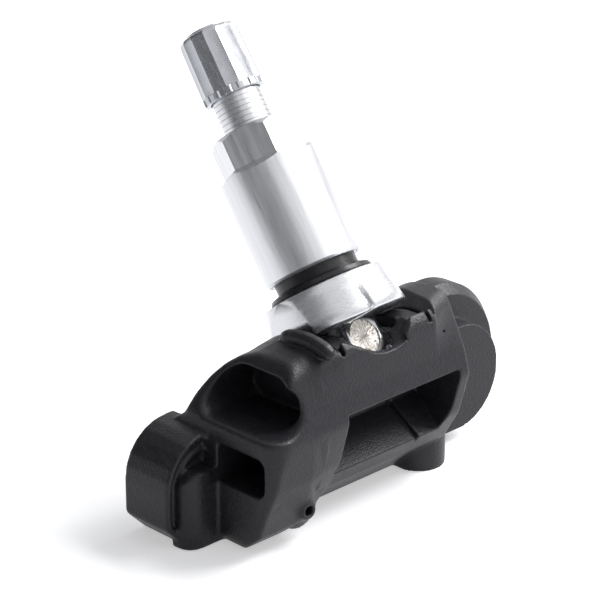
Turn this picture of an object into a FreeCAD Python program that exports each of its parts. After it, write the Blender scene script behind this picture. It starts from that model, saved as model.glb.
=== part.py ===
import FreeCAD, Part
import Sketcher
import math
import os
import re

# Tyre pressure sensor with a clamp-in valve.
# X runs along the moulded housing, Z is up, and the valve leans back towards +Y.
# The valve tilts about a line along X, the pivot, and all valve pieces are drawn upright
# above that pivot, with their axis along local Z and their front towards local -Y.

SIZES = {
    # Valve axis and its cradle
    "valve_lean": (36.0, "lean of the valve from upright, in degrees"),
    "pivot_y": (-6.58, "place of the tilt line"),
    "pivot_z": (17.93, "height of the tilt line"),
    "seat_radius": (10.4, "curved seat under the flange"),
    "seat_half": (9.9, "half the width of the seat between its shoulders"),
    "seat_flare": (0.85, "widening of the seat for each millimetre outwards"),
    "seat_front": (50.0, "seat runs to the front to this angle from upright"),
    "arch_wall": (1.9, "wall of the arch between flange and clamp foot"),
    "slide_gap": (0.1, "running clearance of the sliding seats"),
    "recess_reach": (16.5, "radius cleared for the flange as it tilts"),
    "recess_back": (92.0, "seat runs back to this angle from upright"),
    # Valve stem, one turned piece with its flange and lug
    "flange_base_radius": (10.7, "wide end of the cone"),
    "flange_top_radius": (9.5, "narrow end of the cone"),
    "flange_height": (6.6, "height of the cone"),
    "flange_flat": (9.3, "half the distance across the two flats"),
    "thread_radius": (3.95, "outside of the valve thread"),
    "stem_top": (58.0, "top of the stem above the pivot"),
    "stem_bore": (1.5, "radius of the air bore"),
    "core_well_radius": (2.4, "bore that holds the valve core"),
    "core_well_depth": (12.0, "depth of that bore"),
    "vent_x": (-1.9, "air slot in the front of the flange"),
    "vent_width": (0.6, "its width"),
    "vent_height": (3.6, "height of that slot"),
    "lug_half": (3.35, "half the width of the lug"),
    "lug_front": (4.2, "front face of the lug"),
    "lug_back": (2.2, "back face of the lug"),
    "lug_bottom": (3.9, "lower end of the lug above the pivot"),
    # Fastening screw and clamp foot
    "screw_radius": (2.75, "thread of the fastening screw"),
    "screw_height": (7.7, "screw axis above the pivot"),
    "screw_recess": (0.25, "screw end behind the face of the lug"),
    "screw_gap": (0.05, "clearance of the screw in the lug"),
    "socket_radius": (1.3, "hexagon socket, to its corners"),
    "socket_depth": (2.0, "depth of that socket"),
    "foot_half": (11.5, "half the length of the clamp foot"),
    "foot_floor": (4.4, "underside of the foot above the pivot"),
    "foot_front": (56.0, "wings reach this far to the front, in degrees"),
    "foot_back": (40.0, "and this far to the back, in degrees"),
    "foot_hub_radius": (6.9, "lower middle of the foot beside the lug"),
    "foot_hub_half": (5.9, "half the width of that lower middle"),
    "fit_gap": (0.1, "clearance between pieces that only touch"),
    # Rim seal, nut and washer
    "seal_lip_radius": (8.2, "lip that lies on the flange"),
    "seal_neck_radius": (6.55, "neck under the nut"),
    "seal_lip_height": (1.0, "height of the lip"),
    "seal_height": (3.0, "height between flange and nut"),
    "nut_radius": (7.7, "cylinder of the collar nut"),
    "nut_cylinder": (16.8, "length of that cylinder"),
    "nut_slope": (1.1, "height of the sloping planes"),
    "nut_length": (23.4, "whole nut"),
    "nut_flats": (12.0, "across the flats of its hexagon"),
    "nut_chamfer": (0.35, "lower edge"),
    "nut_turn": (7.0, "turn of the hexagon, in degrees"),
    "washer_radius": (6.9, "washer in the foot of the nut"),
    "washer_height": (1.2, "its thickness"),
    "turn_gap": (0.1, "running clearance of pieces that turn on the stem"),
    # Dust cap
    "cap_bottom": (49.0, "lower end above the pivot"),
    "cap_length": (11.0, "whole cap"),
    "cap_foot_radius": (4.85, "lower end"),
    "cap_head_radius": (4.65, "upper end"),
    "cap_roof": (1.1, "top wall"),
    "cap_edge": (0.7, "rounding of the top edge"),
    "cap_flutes": (14, "grooves round the cap"),
    "flute_radius": (0.28, "radius of a groove"),
    "cap_seal_height": (0.7, "rubber disc in the cap"),
    # Valve core
    "core_top_gap": (0.9, "core sleeve below the stem's top"),
    "core_length": (7.6, "core sleeve"),
    "core_wall": (1.1, "wall of the sleeve"),
    "pin_radius": (0.5, "core pin"),
    "pin_head_radius": (0.85, "its pressed end"),
    "pin_collar_radius": (1.1, "collar that the spring pushes"),
    "core_seal_radius": (1.75, "rubber ring that closes the sleeve"),
    "core_seal_height": (0.8, "its thickness"),
    "spring_wire": (0.14, "radius of the spring wire"),
    "spring_turns": (4, "turns of the spring"),
    # Housing, outline across X: front is -Y
    "bridge_left": (-18.0, "left end of the arched part"),
    "bridge_right": (15.6, "right end of the arched part"),
    "block_left": (-25.6, "left end face"),
    "base_front": (-0.8, "front of the flat underside"),
    "base_left_front": (-5.0, "the same at the left end"),
    "rim_y": (-7.7, "front lower rim"),
    "rim_z": (6.1, "its height"),
    "rim_left_y": (-9.3, "front lower rim at the left end"),
    "rim_left_z": (3.4, "its height"),
    "side_y": (-10.6, "front between rim and nose"),
    "side_left_y": (-11.6, "the same at the left end"),
    "side_z": (11.0, "its height"),
    "nose_y": (-12.6, "foremost line of the front"),
    "nose_z": (18.2, "its height"),
    "fold_y": (-11.3, "fold above the window"),
    "fold_z": (22.2, "its height"),
    "brow_y": (-10.4, "front of the arch in its middle"),
    "brow_z": (29.9, "its height"),
    "brow_end_y": (-7.2, "front of the arch at its right end"),
    "brow_end_z": (30.2, "its height"),
    "brow_left_y": (-9.6, "front of the arch at its left end"),
    "brow_left_z": (28.5, "its height"),
    "crest_y": (3.2, "back of the arch"),
    "crest_left_y": (6.4, "back of the arch at its left end"),
    "back_y": (11.0, "back face"),
    "back_top_z": (15.2, "top of the back face"),
    "back_arch_y": (6.6, "foot of the arch at the back"),
    "back_arch_z": (18.6, "its height"),
    "crown_left": (-10.0, "left end of the full arch"),
    "crown_right": (9.6, "right end of the full arch"),
    # Front window
    "window_left": (-10.3, "left side"),
    "window_right": (13.6, "right side"),
    "window_top": (19.2, "upper edge"),
    "window_bottom": (8.9, "lower edge"),
    "window_foot_right": (12.2, "right end of the lower edge"),
    "window_foot_left": (-10.8, "left end of the lower edge"),
    "window_knee": (12.8, "height where the right side turns in"),
    "window_flare": (10.6, "height where the left side turns out"),
    "window_back": (-3.2, "back wall of the recess"),
    "window_back_top": (16.2, "height of its roof at the back wall"),
    "window_back_floor": (13.0, "height of its floor at the back wall"),
    "groove_x": (7.1, "groove in the floor of the window"),
    "groove_width": (0.9, "its width"),
    "groove_depth": (0.7, "its depth"),
    # Valve chamber and opening
    "chamber_half": (12.2, "half its length"),
    "chamber_floor_front": (20.7, "floor under the clamp foot, front"),
    "chamber_floor_back": (18.0, "floor under the clamp foot, back"),
    "chamber_front": (-10.3, "front wall, inside"),
    "chamber_back": (2.4, "back wall, inside"),
    "opening_foot_z": (25.9, "lower edge of the rounded opening in front of the lug"),
    "opening_radius": (9.2, "its radius"),
    "opening_half": (5.4, "half the width of the slot that the lug passes through"),
    "opening_back": (24.0, "this slot runs back this far behind the valve's axis, in degrees"),
    "driver_way": (2.0, "radius of the way for the driver"),
    "slot_x": (9.5, "curved slots beside the opening"),
    "slot_width": (0.65, "their width"),
    "slot_end": (21.0, "their front end from upright, in degrees"),
    "rib_x": (-13.1, "raised round rib beside the left slot"),
    "rib_ring": (12.2, "radius of its centre line about the tilt line"),
    "rib_radius": (1.25, "radius of the rib itself"),
    "rib_front": (25.0, "its front end from upright, in degrees"),
    "rib_back": (25.0, "its back end from upright, in degrees"),
    # Left end
    "mouth_front": (-10.7, "upper opening, front"),
    "mouth_back": (4.2, "upper opening, back"),
    "mouth_bottom": (19.0, "upper opening, floor"),
    "mouth_top": (26.4, "upper opening, roof"),
    "mouth_end": (-13.9, "inner end of the upper opening"),
    "mouth_corner": (2.0, "its lower corners"),
    "mouth_arch": (5.0, "its upper corners"),
    "mouth_slant": (36.0, "lean of its rim from upright, in degrees"),
    "scoop_z": (23.4, "cut in its front wall, height"),
    "scoop_x": (-25.0, "cut in its front wall, centre"),
    "scoop_radius": (6.4, "radius of that cut, inside"),
    "scoop_flare": (2.0, "growth of that cut to the outside"),
    "port_front": (-10.0, "side opening, front"),
    "port_back": (-0.6, "side opening, back"),
    "port_bottom": (10.0, "side opening, lower edge"),
    "port_top": (15.9, "side opening, upper edge"),
    "port_depth": (9.0, "side opening, depth"),
    "port_corner": (1.0, "its front corners"),
    "tongue_left": (-33.5, "far end of the tongue"),
    "tongue_front": (2.4, "front of the tongue"),
    "tongue_height": (17.0, "top of the tongue"),
    "tongue_corner": (8.0, "its top corner"),
    "lip_height": (0.9, "raised lip on the front of the tongue"),
    "lip_width": (1.1, "its width"),
    "web_left": (-31.4, "wall in front of the tongue"),
    "web_front": (-0.8, "its front face"),
    "web_height": (12.2, "its height"),
    # Air hole of the sensor
    "air_x": (-14.3, "air hole at the lower front"),
    "air_z": (3.9, "its height"),
    "air_radius": (0.8, "its radius"),
    "air_boss_radius": (1.9, "boss round the air hole"),
    "air_boss_front": (-8.4, "front of that boss"),
    # Right end
    "lobe_x": (25.4, "centre of the battery lobe"),
    "lobe_z": (10.9, "its height"),
    "lobe_radius": (8.8, "front lobe"),
    "lobe_front": (-2.0, "front face of the front lobe"),
    "step_y": (2.0, "front face of the rear lobe"),
    "step_radius": (12.0, "rear lobe at its front face"),
    "rear_lobe_z": (11.5, "centre height of the rear lobe"),
    "rear_lobe_radius": (13.5, "rear lobe"),
    "rear_lobe_edge": (2.0, "depth of its rounded front edge"),
    "lobe_back": (7.5, "back face of the lobes"),
    "boss_x": (15.5, "foot at the front right"),
    "boss_y": (-2.2, "its centre"),
    "boss_radius": (4.3, "its radius"),
    "boss_height": (8.0, "its height"),
    # Electronics
    "bay_left": (-23.6, "left end of the electronics bay"),
    "bay_right": (14.2, "right end of the electronics bay"),
    "bay_front": (1.2, "front wall of the bay"),
    "bay_floor": (2.0, "lower wall of the bay"),
    "bay_top": (13.6, "upper wall of the bay"),
    "board_y": (5.0, "front face of the circuit board"),
    "board_thickness": (1.0, "circuit board"),
    "battery_radius": (8.0, "coin cell, 16 mm across"),
    "battery_height": (3.2, "its thickness"),
    "cell_gap": (0.2, "space round the coin cell"),
    "way_back": (6.0, "back of the way between bay and pocket"),
    "cell_front": (-0.8, "front wall of the cell's pocket"),
    "tab_thickness": (0.15, "welded tabs"),
    "tab_width": (1.9, "their width"),
    "rear_tab_drop": (0.4, "rear tab below the cell's centre"),
    "front_tab_drop": (2.9, "front tab below the cell's centre"),
    "front_tab_x": (16.4, "bend of the front tab beside the cell"),
    "tab_foot_x": (12.0, "ends of the tabs on the circuit board"),
    "part_gap": (0.05, "gap of fitted pieces in the bay"),
    "fill_depth": (2.2, "sealing compound at the back of the bay"),
    "post_radius": (0.9, "posts under the circuit board"),
    "chip_width": (6.0, "sensor chip"),
    "chip_height": (5.0, "its height"),
    "chip_thickness": (1.8, "its thickness"),
    "gasket_radius": (1.9, "soft ring between air hole and chip"),
    "coil_x": (-5.4, "low frequency coil, left end"),
    "coil_length": (8.0, "its length"),
    "coil_height": (2.8, "its height"),
    "crystal_x": (4.4, "crystal, left end"),
    "crystal_length": (3.2, "its length"),
    "crystal_height": (2.5, "its height"),
    "crystal_thickness": (0.8, "its thickness"),
    "antenna_wire": (0.4, "half the width of the antenna loop's strip"),
    "antenna_stand": (1.0, "antenna loop behind the board"),
    "cap_chip_x": (1.4, "row of ceramic capacitors, left end"),
    "cap_chip_length": (1.6, "length of each"),
    "cap_chip_width": (0.8, "their width"),
    "cap_chip_pitch": (2.2, "distance from one to the next"),
}

doc = FreeCAD.newDocument("tyre_pressure_sensor")
sheet = doc.addObject("Spreadsheet::Sheet", "Sizes")
for row, (size_name, (size_value, size_note)) in enumerate(SIZES.items(), start=1):
    sheet.set(f"A{row}", size_name)
    sheet.set(f"B{row}", str(size_value))
    sheet.set(f"C{row}", size_note)
    sheet.setAlias(f"B{row}", size_name)
doc.recompute()

SIZE_WORD = re.compile(r"\b(" + "|".join(SIZES) + r")\b")
PLANE_OF = {"front": "XZ_Plane", "top": "XY_Plane", "side": "YZ_Plane"}
TURN_TO = {"x": ((0, 1, 0), 90), "y": ((1, 0, 0), -90), "z": ((0, 0, 1), 0)}
ON_VALVE = "placement(vector(0; pivot_y; pivot_z); rotation(vector(1; 0; 0); -valve_lean))"

nodes = []


def formula(text):
    """Words of the size table become references to its cells."""
    return SIZE_WORD.sub(r"Sizes.\1", text)


def size(text):
    """Value of a formula, for shapes that are worked out here."""
    return float(sheet.evalExpression(formula(text)))


def bind(thing, setting, text):
    thing.setExpression(setting, formula(text))


def node(thing, label, place=None):
    """Names a finished piece, and stands it on the valve's axis where it belongs there."""
    thing.Label = label
    if place:
        bind(thing, ".Placement", place)
    nodes.append(thing)
    return thing


def box(name, low, high):
    """Block between two corners, each given as three formulas."""
    block = doc.addObject("Part::Box", name)
    for setting, start, end in zip(("Length", "Width", "Height"), low, high):
        bind(block, setting, f"({end}) - ({start})")
    for axis, start in zip("xyz", low):
        bind(block, f".Placement.Base.{axis}", start)
    return block


def rod(name, radius, start, length, axis="z"):
    """Cylinder from a start point along X, Y or Z."""
    bar = doc.addObject("Part::Cylinder", name)
    turn_axis, turn = TURN_TO[axis]
    bar.Placement.Rotation = FreeCAD.Rotation(FreeCAD.Vector(*turn_axis), turn)
    bind(bar, "Radius", radius)
    bind(bar, "Height", length)
    for letter, place in zip("xyz", start):
        bind(bar, f".Placement.Base.{letter}", place)
    return bar


def placed(thing, place):
    """Gives a box or rod a turned place instead of its plain one."""
    for letter in "xyz":
        thing.setExpression(f".Placement.Base.{letter}", None)
    bind(thing, ".Placement", place)
    return thing


def fuse(name, pieces):
    joined = doc.addObject("Part::MultiFuse", name)
    joined.Shapes = pieces
    joined.Refine = True
    return joined


def cut(name, base, tools):
    """Base less all its tools."""
    result = doc.addObject("Part::Cut", name)
    result.Base = base
    result.Tool = tools[0] if len(tools) == 1 else fuse(name + "_tools", tools)
    return result


def cut_in_turn(name, base, tools):
    """Base less its tools, one after another."""
    result = base
    for tool in tools:
        result = cut(f"{name}_less_{tool.Name}", result, [tool])
    return result


def common(name, first, second):
    result = doc.addObject("Part::Common", name)
    result.Base = first
    result.Tool = second
    return result


def outline(body, plane, name, points):
    """Closed outline of straight lines, each corner held to two formulas."""
    sketch = body.newObject("Sketcher::SketchObject", name)
    planes = {feature.Role: feature for feature in body.Origin.OriginFeatures}
    sketch.AttachmentSupport = [(planes[PLANE_OF[plane]], "")]
    sketch.MapMode = "FlatFace"
    corners = [FreeCAD.Vector(size(across), size(up), 0) for across, up in points]
    count = len(corners)
    for index in range(count):
        sketch.addGeometry(Part.LineSegment(corners[index], corners[(index + 1) % count]), False)
    for index in range(count):
        sketch.addConstraint(Sketcher.Constraint("Coincident", index, 2, (index + 1) % count, 1))
    for index, (across, up) in enumerate(points):
        start = corners[index]
        held = sketch.addConstraint(Sketcher.Constraint("DistanceX", -1, 1, index, 1, start.x))
        bind(sketch, f"Constraints[{held}]", across)
        held = sketch.addConstraint(Sketcher.Constraint("DistanceY", -1, 1, index, 1, start.y))
        bind(sketch, f"Constraints[{held}]", up)
    return sketch


def turned(name, points):
    """Piece turned about Z from its half section."""
    body = doc.addObject("PartDesign::Body", name)
    sketch = outline(body, "front", name + "_section", points)
    turning = body.newObject("PartDesign::Revolution", name + "_turning")
    turning.Profile = sketch
    turning.ReferenceAxis = (sketch, ["V_Axis"])
    turning.Angle = 360
    return body


def padded(name, plane, points, start, end):
    """Outline pushed square to its plane, from start to end along the plane's axis."""
    body = doc.addObject("PartDesign::Body", name)
    sketch = outline(body, plane, name + "_outline", points)
    bind(sketch, ".AttachmentOffset.Base.z", start)
    pad = body.newObject("PartDesign::Pad", name + "_pad")
    pad.Profile = sketch
    bind(pad, "Length", f"({end}) - ({start})")
    return body


def round_wire(points, at_x):
    """Closed outline in a plane across X, with a tangent arc of its own radius at each corner."""
    count = len(points)
    corners = [FreeCAD.Vector(at_x, across, up) for across, up, radius in points]
    edges = []
    last_end = None
    first_start = None
    for index, corner in enumerate(corners):
        radius = points[index][2]
        to_last = (corners[index - 1] - corner).normalize()
        to_next = (corners[(index + 1) % count] - corner).normalize()
        half_angle = to_last.getAngle(to_next) / 2
        reach = radius / math.tan(half_angle)
        start = corner + to_last * reach
        end = corner + to_next * reach
        inward = (to_last + to_next).normalize()
        middle = corner + inward * (radius / math.sin(half_angle) - radius)
        if last_end is None:
            first_start = start
        else:
            edges.append(Part.LineSegment(last_end, start).toShape())
        edges.append(Part.Arc(start, middle, end).toShape())
        last_end = end
    edges.append(Part.LineSegment(last_end, first_start).toShape())
    return Part.Wire(edges)


# Valve stem: cone, flats, lug and threaded stem, turned and milled from one bar

flange_floor = "(seat_radius + slide_gap)"
flange_top = "(seat_radius + slide_gap + flange_height)"
nut_floor = "(seat_radius + slide_gap + flange_height + seal_height)"

stem_turned = turned("stem_turned", [
    ("0", flange_floor),
    ("flange_base_radius - 0.3", flange_floor),
    ("flange_base_radius", f"{flange_floor} + 0.3"),
    ("flange_top_radius", f"{flange_top} - 0.2"),
    ("flange_top_radius - 0.2", flange_top),
    ("thread_radius", flange_top),
    ("thread_radius", "stem_top - 0.6"),
    ("thread_radius - 0.6", "stem_top"),
    ("0", "stem_top"),
])
stem_block = box("stem_lug", ("-lug_half", "-lug_front", "lug_bottom"),
                 ("lug_half", "lug_back", f"{flange_floor} + 0.5"))
stem_raw = fuse("stem_raw", [stem_turned, stem_block])
screw_start = "-lug_front - 1"
stem_cuts = [
    box("left_flat", ("-flange_base_radius - 1", "-flange_base_radius", f"{flange_floor} - 1"),
        ("-flange_flat", "flange_base_radius", f"{flange_top} + 0.01")),
    box("right_flat", ("flange_flat", "-flange_base_radius", f"{flange_floor} - 1"),
        ("flange_base_radius + 1", "flange_base_radius", f"{flange_top} + 0.01")),
    rod("stem_air_bore", "stem_bore", ("0", "0", f"{flange_floor} + 1.4"), "stem_top"),
    rod("core_well", "core_well_radius", ("0", "0", "stem_top - core_well_depth"),
        "core_well_depth + 1"),
    box("vent_slot", ("vent_x - vent_width / 2", "-flange_base_radius - 1", f"{flange_floor} - 1"),
        ("vent_x + vent_width / 2", "-lug_front", f"{flange_floor} + vent_height")),
    rod("screw_bore", "screw_radius + screw_gap", ("0", screw_start, "screw_height"),
        "lug_front + lug_back + 2", "y"),
]
valve_stem = node(cut("valve_stem", stem_raw, stem_cuts), "valve_stem", ON_VALVE)

# Fastening screw: threaded through the lug, its rear end bears on the clamp foot

screw_length = "(lug_front - screw_recess + lug_back + fit_gap)"
screw_bar = rod("screw_bar", "screw_radius", ("0", "-lug_front + screw_recess", "screw_height"),
                screw_length, "y")
screw_socket = doc.addObject("Part::Prism", "screw_socket")
screw_socket.Polygon = 6
screw_socket.Placement.Rotation = FreeCAD.Rotation(FreeCAD.Vector(1, 0, 0), 90)
bind(screw_socket, "Circumradius", "socket_radius")
bind(screw_socket, "Height", "socket_depth")
bind(screw_socket, ".Placement.Base.y", "lug_back + fit_gap")
bind(screw_socket, ".Placement.Base.z", "screw_height")
fastening_screw = node(cut("fastening_screw", screw_bar, [screw_socket]), "fastening_screw", ON_VALVE)

# Clamp foot: cross bar under the arch, with a curved wing on each side of the lug

foot_radius = "(seat_radius - arch_wall - slide_gap)"


def wedge(name, front, back):
    """Sector about the tilt line, between two angles from the valve's axis."""
    sector = doc.addObject("Part::Cylinder", name)
    bind(sector, "Radius", foot_radius)
    bind(sector, "Height", "2 * foot_half")
    bind(sector, "Angle", f"({front}) + ({back})")
    turn = f"rotation(vector(1; 0; 0); 180 - ({back})) * rotation(vector(0; 1; 0); 90)"
    bind(sector, ".Placement", f"placement(vector(-foot_half; 0; 0); {turn})")
    return sector


foot_wings = wedge("foot_wings", "foot_front", "foot_back")
foot_cuts = [
    box("foot_underside", ("-foot_half - 1", "-seat_radius", "-seat_radius"),
        ("foot_half + 1", "seat_radius", "foot_floor")),
    box("lug_pocket", ("-lug_half - fit_gap", "-seat_radius", "lug_bottom - fit_gap"),
        ("lug_half + fit_gap", "lug_back + fit_gap", "seat_radius + 1")),
    rod("driver_hole", "socket_radius + 0.3", ("0", "0", "screw_height"), "seat_radius", "y"),
]
hub_ring = cut("hub_ring",
               rod("hub_ring_outside", "seat_radius", ("-foot_hub_half", "0", "0"),
                   "2 * foot_hub_half", "x"),
               [rod("hub_ring_inside", "foot_hub_radius", ("-foot_hub_half - 1", "0", "0"),
                    "2 * foot_hub_half + 2", "x")])
hub_front = common("hub_front", hub_ring,
                   box("hub_front_space", ("-foot_half", "-seat_radius", "0"),
                       ("foot_half", "lug_back", "seat_radius + 1")))
clamp_foot = node(cut("clamp_foot", foot_wings, foot_cuts + [hub_front]), "clamp_foot", ON_VALVE)

# Rim seal: rubber sleeve with a lip on the flange and a neck under the nut

rim_seal = node(turned("rim_seal", [
    ("thread_radius + 0.05", flange_top),
    ("seal_lip_radius - 0.3", flange_top),
    ("seal_lip_radius", f"{flange_top} + 0.4"),
    ("seal_lip_radius - 0.3", f"{flange_top} + seal_lip_height"),
    ("seal_neck_radius", f"{flange_top} + seal_lip_height + 0.5"),
    ("seal_neck_radius", nut_floor),
    ("thread_radius + 0.05", nut_floor),
]), "rim_seal", ON_VALVE)

# Washer in the foot of the nut

nut_washer = node(turned("nut_washer", [
    ("thread_radius + turn_gap", nut_floor),
    ("washer_radius", nut_floor),
    ("washer_radius", f"{nut_floor} + washer_height"),
    ("thread_radius + turn_gap", f"{nut_floor} + washer_height"),
]), "nut_washer", ON_VALVE)

# Collar nut: long cylinder, six sloping planes and a chamfered hexagon

nut_top = f"({nut_floor} + nut_length)"
nut_body = turned("nut_body", [
    ("thread_radius + turn_gap", f"{nut_floor} + washer_height"),
    ("washer_radius + turn_gap", f"{nut_floor} + washer_height"),
    ("washer_radius + turn_gap", nut_floor),
    ("nut_radius - nut_chamfer", nut_floor),
    ("nut_radius", f"{nut_floor} + nut_chamfer"),
    ("nut_radius", f"{nut_floor} + nut_cylinder + nut_slope"),
    ("nut_flats / 2 / cos(30)", f"{nut_floor} + nut_cylinder + nut_slope"),
    ("nut_flats / 2 / cos(30)", f"{nut_top} - 0.9"),
    ("nut_flats / 2 - 0.1", nut_top),
    ("thread_radius + turn_gap", nut_top),
])
hex_flare = doc.addObject("Part::Feature", "hex_flare")
flare_radius = size("nut_flats / 2 / cos(30)")
flare_foot = size("nut_radius / cos(30) + 0.2")
flare_wires = []
for radius_here, height_here in ((flare_foot, size(f"{nut_floor} - 1")),
                                 (flare_foot, size(f"{nut_floor} + nut_cylinder")),
                                 (flare_radius, size(f"{nut_floor} + nut_cylinder + nut_slope")),
                                 (flare_radius, size(f"{nut_top} + 1"))):
    ring = []
    for corner in range(7):
        angle = math.radians(60 * corner + size("nut_turn"))
        ring.append(FreeCAD.Vector(radius_here * math.cos(angle), radius_here * math.sin(angle),
                                   height_here))
    flare_wires.append(Part.makePolygon(ring))
hex_flare.Shape = Part.makeLoft(flare_wires, True, True)
collar_nut = node(common("collar_nut", nut_body, hex_flare), "collar_nut", ON_VALVE)

# Dust cap: thin grey cap with grooves down its side

cap_inside = "(thread_radius + turn_gap)"
cap_top = "(cap_bottom + cap_length)"
cap_turned = turned("cap_turned", [
    (cap_inside, "cap_bottom"),
    ("cap_foot_radius", "cap_bottom"),
    ("cap_head_radius", f"{cap_top} - cap_edge"),
    ("cap_head_radius - 0.25 * cap_edge", f"{cap_top} - 0.3 * cap_edge"),
    ("cap_head_radius - cap_edge", cap_top),
    ("0", cap_top),
    ("0", f"{cap_top} - cap_roof"),
    (cap_inside, f"{cap_top} - cap_roof"),
])
flute_bars = []
flute_count = int(size("cap_flutes"))
for flute in range(flute_count):
    bar = rod(f"flute_{flute}", "flute_radius", ("0", "0", "cap_bottom + 1.6"), "cap_length")
    angle = f"{flute} * 360 / cap_flutes"
    bind(bar, ".Placement.Base.x", f"(cap_foot_radius + 0.05) * cos({angle})")
    bind(bar, ".Placement.Base.y", f"(cap_foot_radius + 0.05) * sin({angle})")
    flute_bars.append(bar)
dust_cap = node(cut("dust_cap", cap_turned, flute_bars), "dust_cap", ON_VALVE)

cap_seal = node(turned("cap_seal", [
    ("0", f"{cap_top} - cap_roof - cap_seal_height"),
    (f"{cap_inside} - 0.05", f"{cap_top} - cap_roof - cap_seal_height"),
    (f"{cap_inside} - 0.05", f"{cap_top} - cap_roof"),
    ("0", f"{cap_top} - cap_roof"),
]), "cap_seal", ON_VALVE)

# Valve core: brass sleeve, sprung pin and rubber ring

core_top = "(stem_top - core_top_gap)"
core_foot = f"({core_top} - core_length)"
core_radius = "(core_well_radius - 0.05)"
core_bore = f"({core_radius} - core_wall + 0.15)"
core_sleeve = node(turned("core_sleeve", [
    ("pin_radius + 0.1", core_foot),
    ("core_seal_radius - 0.2", core_foot),
    (core_radius, f"{core_foot} + 0.8"),
    (core_radius, core_top),
    (core_bore, core_top),
    (core_bore, f"{core_foot} + 1.2"),
    ("pin_radius + 0.1", f"{core_foot} + 1.2"),
]), "core_sleeve", ON_VALVE)

core_ring_top = f"({core_foot} - 0.05)"
core_pin = node(turned("core_pin", [
    ("0", f"{core_ring_top} - core_seal_height - 0.8"),
    ("core_seal_radius", f"{core_ring_top} - core_seal_height - 0.8"),
    ("core_seal_radius", f"{core_ring_top} - core_seal_height"),
    ("pin_radius", f"{core_ring_top} - core_seal_height"),
    ("pin_radius", f"{core_top} - 1.0"),
    ("pin_collar_radius", f"{core_top} - 1.0"),
    ("pin_collar_radius", f"{core_top} - 0.5"),
    ("pin_radius", f"{core_top} - 0.5"),
    ("pin_radius", f"{core_top} - 0.1"),
    ("pin_head_radius", f"{core_top} + 0.1"),
    ("pin_head_radius", f"{core_top} + 0.4"),
    ("0", f"{core_top} + 0.5"),
]), "core_pin", ON_VALVE)

core_ring = node(turned("core_ring", [
    ("pin_radius + 0.02", f"{core_ring_top} - core_seal_height + 0.02"),
    ("core_seal_radius", f"{core_ring_top} - core_seal_height + 0.02"),
    ("core_seal_radius", core_ring_top),
    ("pin_radius + 0.02", core_ring_top),
]), "core_ring", ON_VALVE)

spring_low = size(f"{core_foot} + 1.2 + spring_wire + 0.03")
spring_high = size(f"{core_top} - 1.0 - spring_wire - 0.03")
spring_path_radius = size("pin_radius + spring_wire + 0.15")
spring_turns = size("spring_turns")
spring_pitch = (spring_high - spring_low) / spring_turns
spring_path = Part.makeHelix(spring_pitch, spring_high - spring_low, spring_path_radius)
spring_corners = []
for corner in range(5):
    angle = math.radians(90 * corner + 45)
    spring_corners.append(FreeCAD.Vector(spring_path_radius + size("spring_wire") * math.cos(angle), 0,
                                         size("spring_wire") * math.sin(angle)))
spring_section = Part.makePolygon(spring_corners)
core_spring = doc.addObject("Part::Feature", "core_spring")
core_spring.Shape = Part.Wire(spring_path.Edges).makePipeShell([spring_section], True, True)
spring_lift = f"placement(vector(0; 0; {spring_low}); rotation(vector(0; 0; 1); 0))"
node(core_spring, "core_spring", f"{ON_VALVE} * {spring_lift}")


# Housing: one moulded piece. Its arched middle is lofted through sections across X


def section(at_x, front, brow, crest_y, crest_radius):
    """Outline across X: base, rim, side, nose, fold, brow, crest and back."""
    base_front, rim_y, rim_z, side_y = front
    brow_y, brow_z = brow
    corners = [
        (base_front, "0", 1.0),
        (rim_y, rim_z, 1.2),
        (side_y, "side_z", 6.0),
        ("nose_y", "nose_z", 2.5),
        ("fold_y", "fold_z", 3.0),
        (brow_y, brow_z, 3.4),
        (crest_y, brow_z, crest_radius),
        ("back_arch_y", "back_arch_z", 1.0),
        ("back_y", "back_top_z", 2.0),
        ("back_y", "0", 1.0),
    ]
    return round_wire([(size(across), size(up), radius) for across, up, radius in corners], size(at_x))


left_front = ("base_left_front", "rim_left_y", "rim_left_z", "side_left_y")
plain_front = ("base_front", "rim_y", "rim_z", "side_y")
left_outline = (left_front, ("brow_left_y", "brow_left_z"), "crest_left_y", 10.0)
crown_outline = (plain_front, ("brow_y", "brow_z"), "crest_y", 9.0)
right_outline = (plain_front, ("brow_end_y", "brow_end_z"), "crest_y", 9.0)
arch_spans = []
for name, low, low_form, high, high_form in (
        ("block", "block_left", left_outline, "bridge_left + 1", left_outline),
        ("left_arch", "bridge_left + 1", left_outline, "crown_left", crown_outline),
        ("crown", "crown_left", crown_outline, "crown_right", crown_outline),
        ("right_arch", "crown_right", crown_outline, "bridge_right", right_outline)):
    span = doc.addObject("Part::Feature", name)
    if low_form == high_form:
        length = FreeCAD.Vector(size(f"{high} - ({low})"), 0, 0)
        span.Shape = Part.Face(section(low, *low_form)).extrude(length)
    else:
        span.Shape = Part.makeLoft([section(low, *low_form), section(high, *high_form)], True, True)
    arch_spans.append(span)

# Boss of the air hole
air_boss = rod("air_boss", "air_boss_radius", ("air_x", "air_boss_front", "air_z"), "-air_boss_front", "y")

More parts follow.
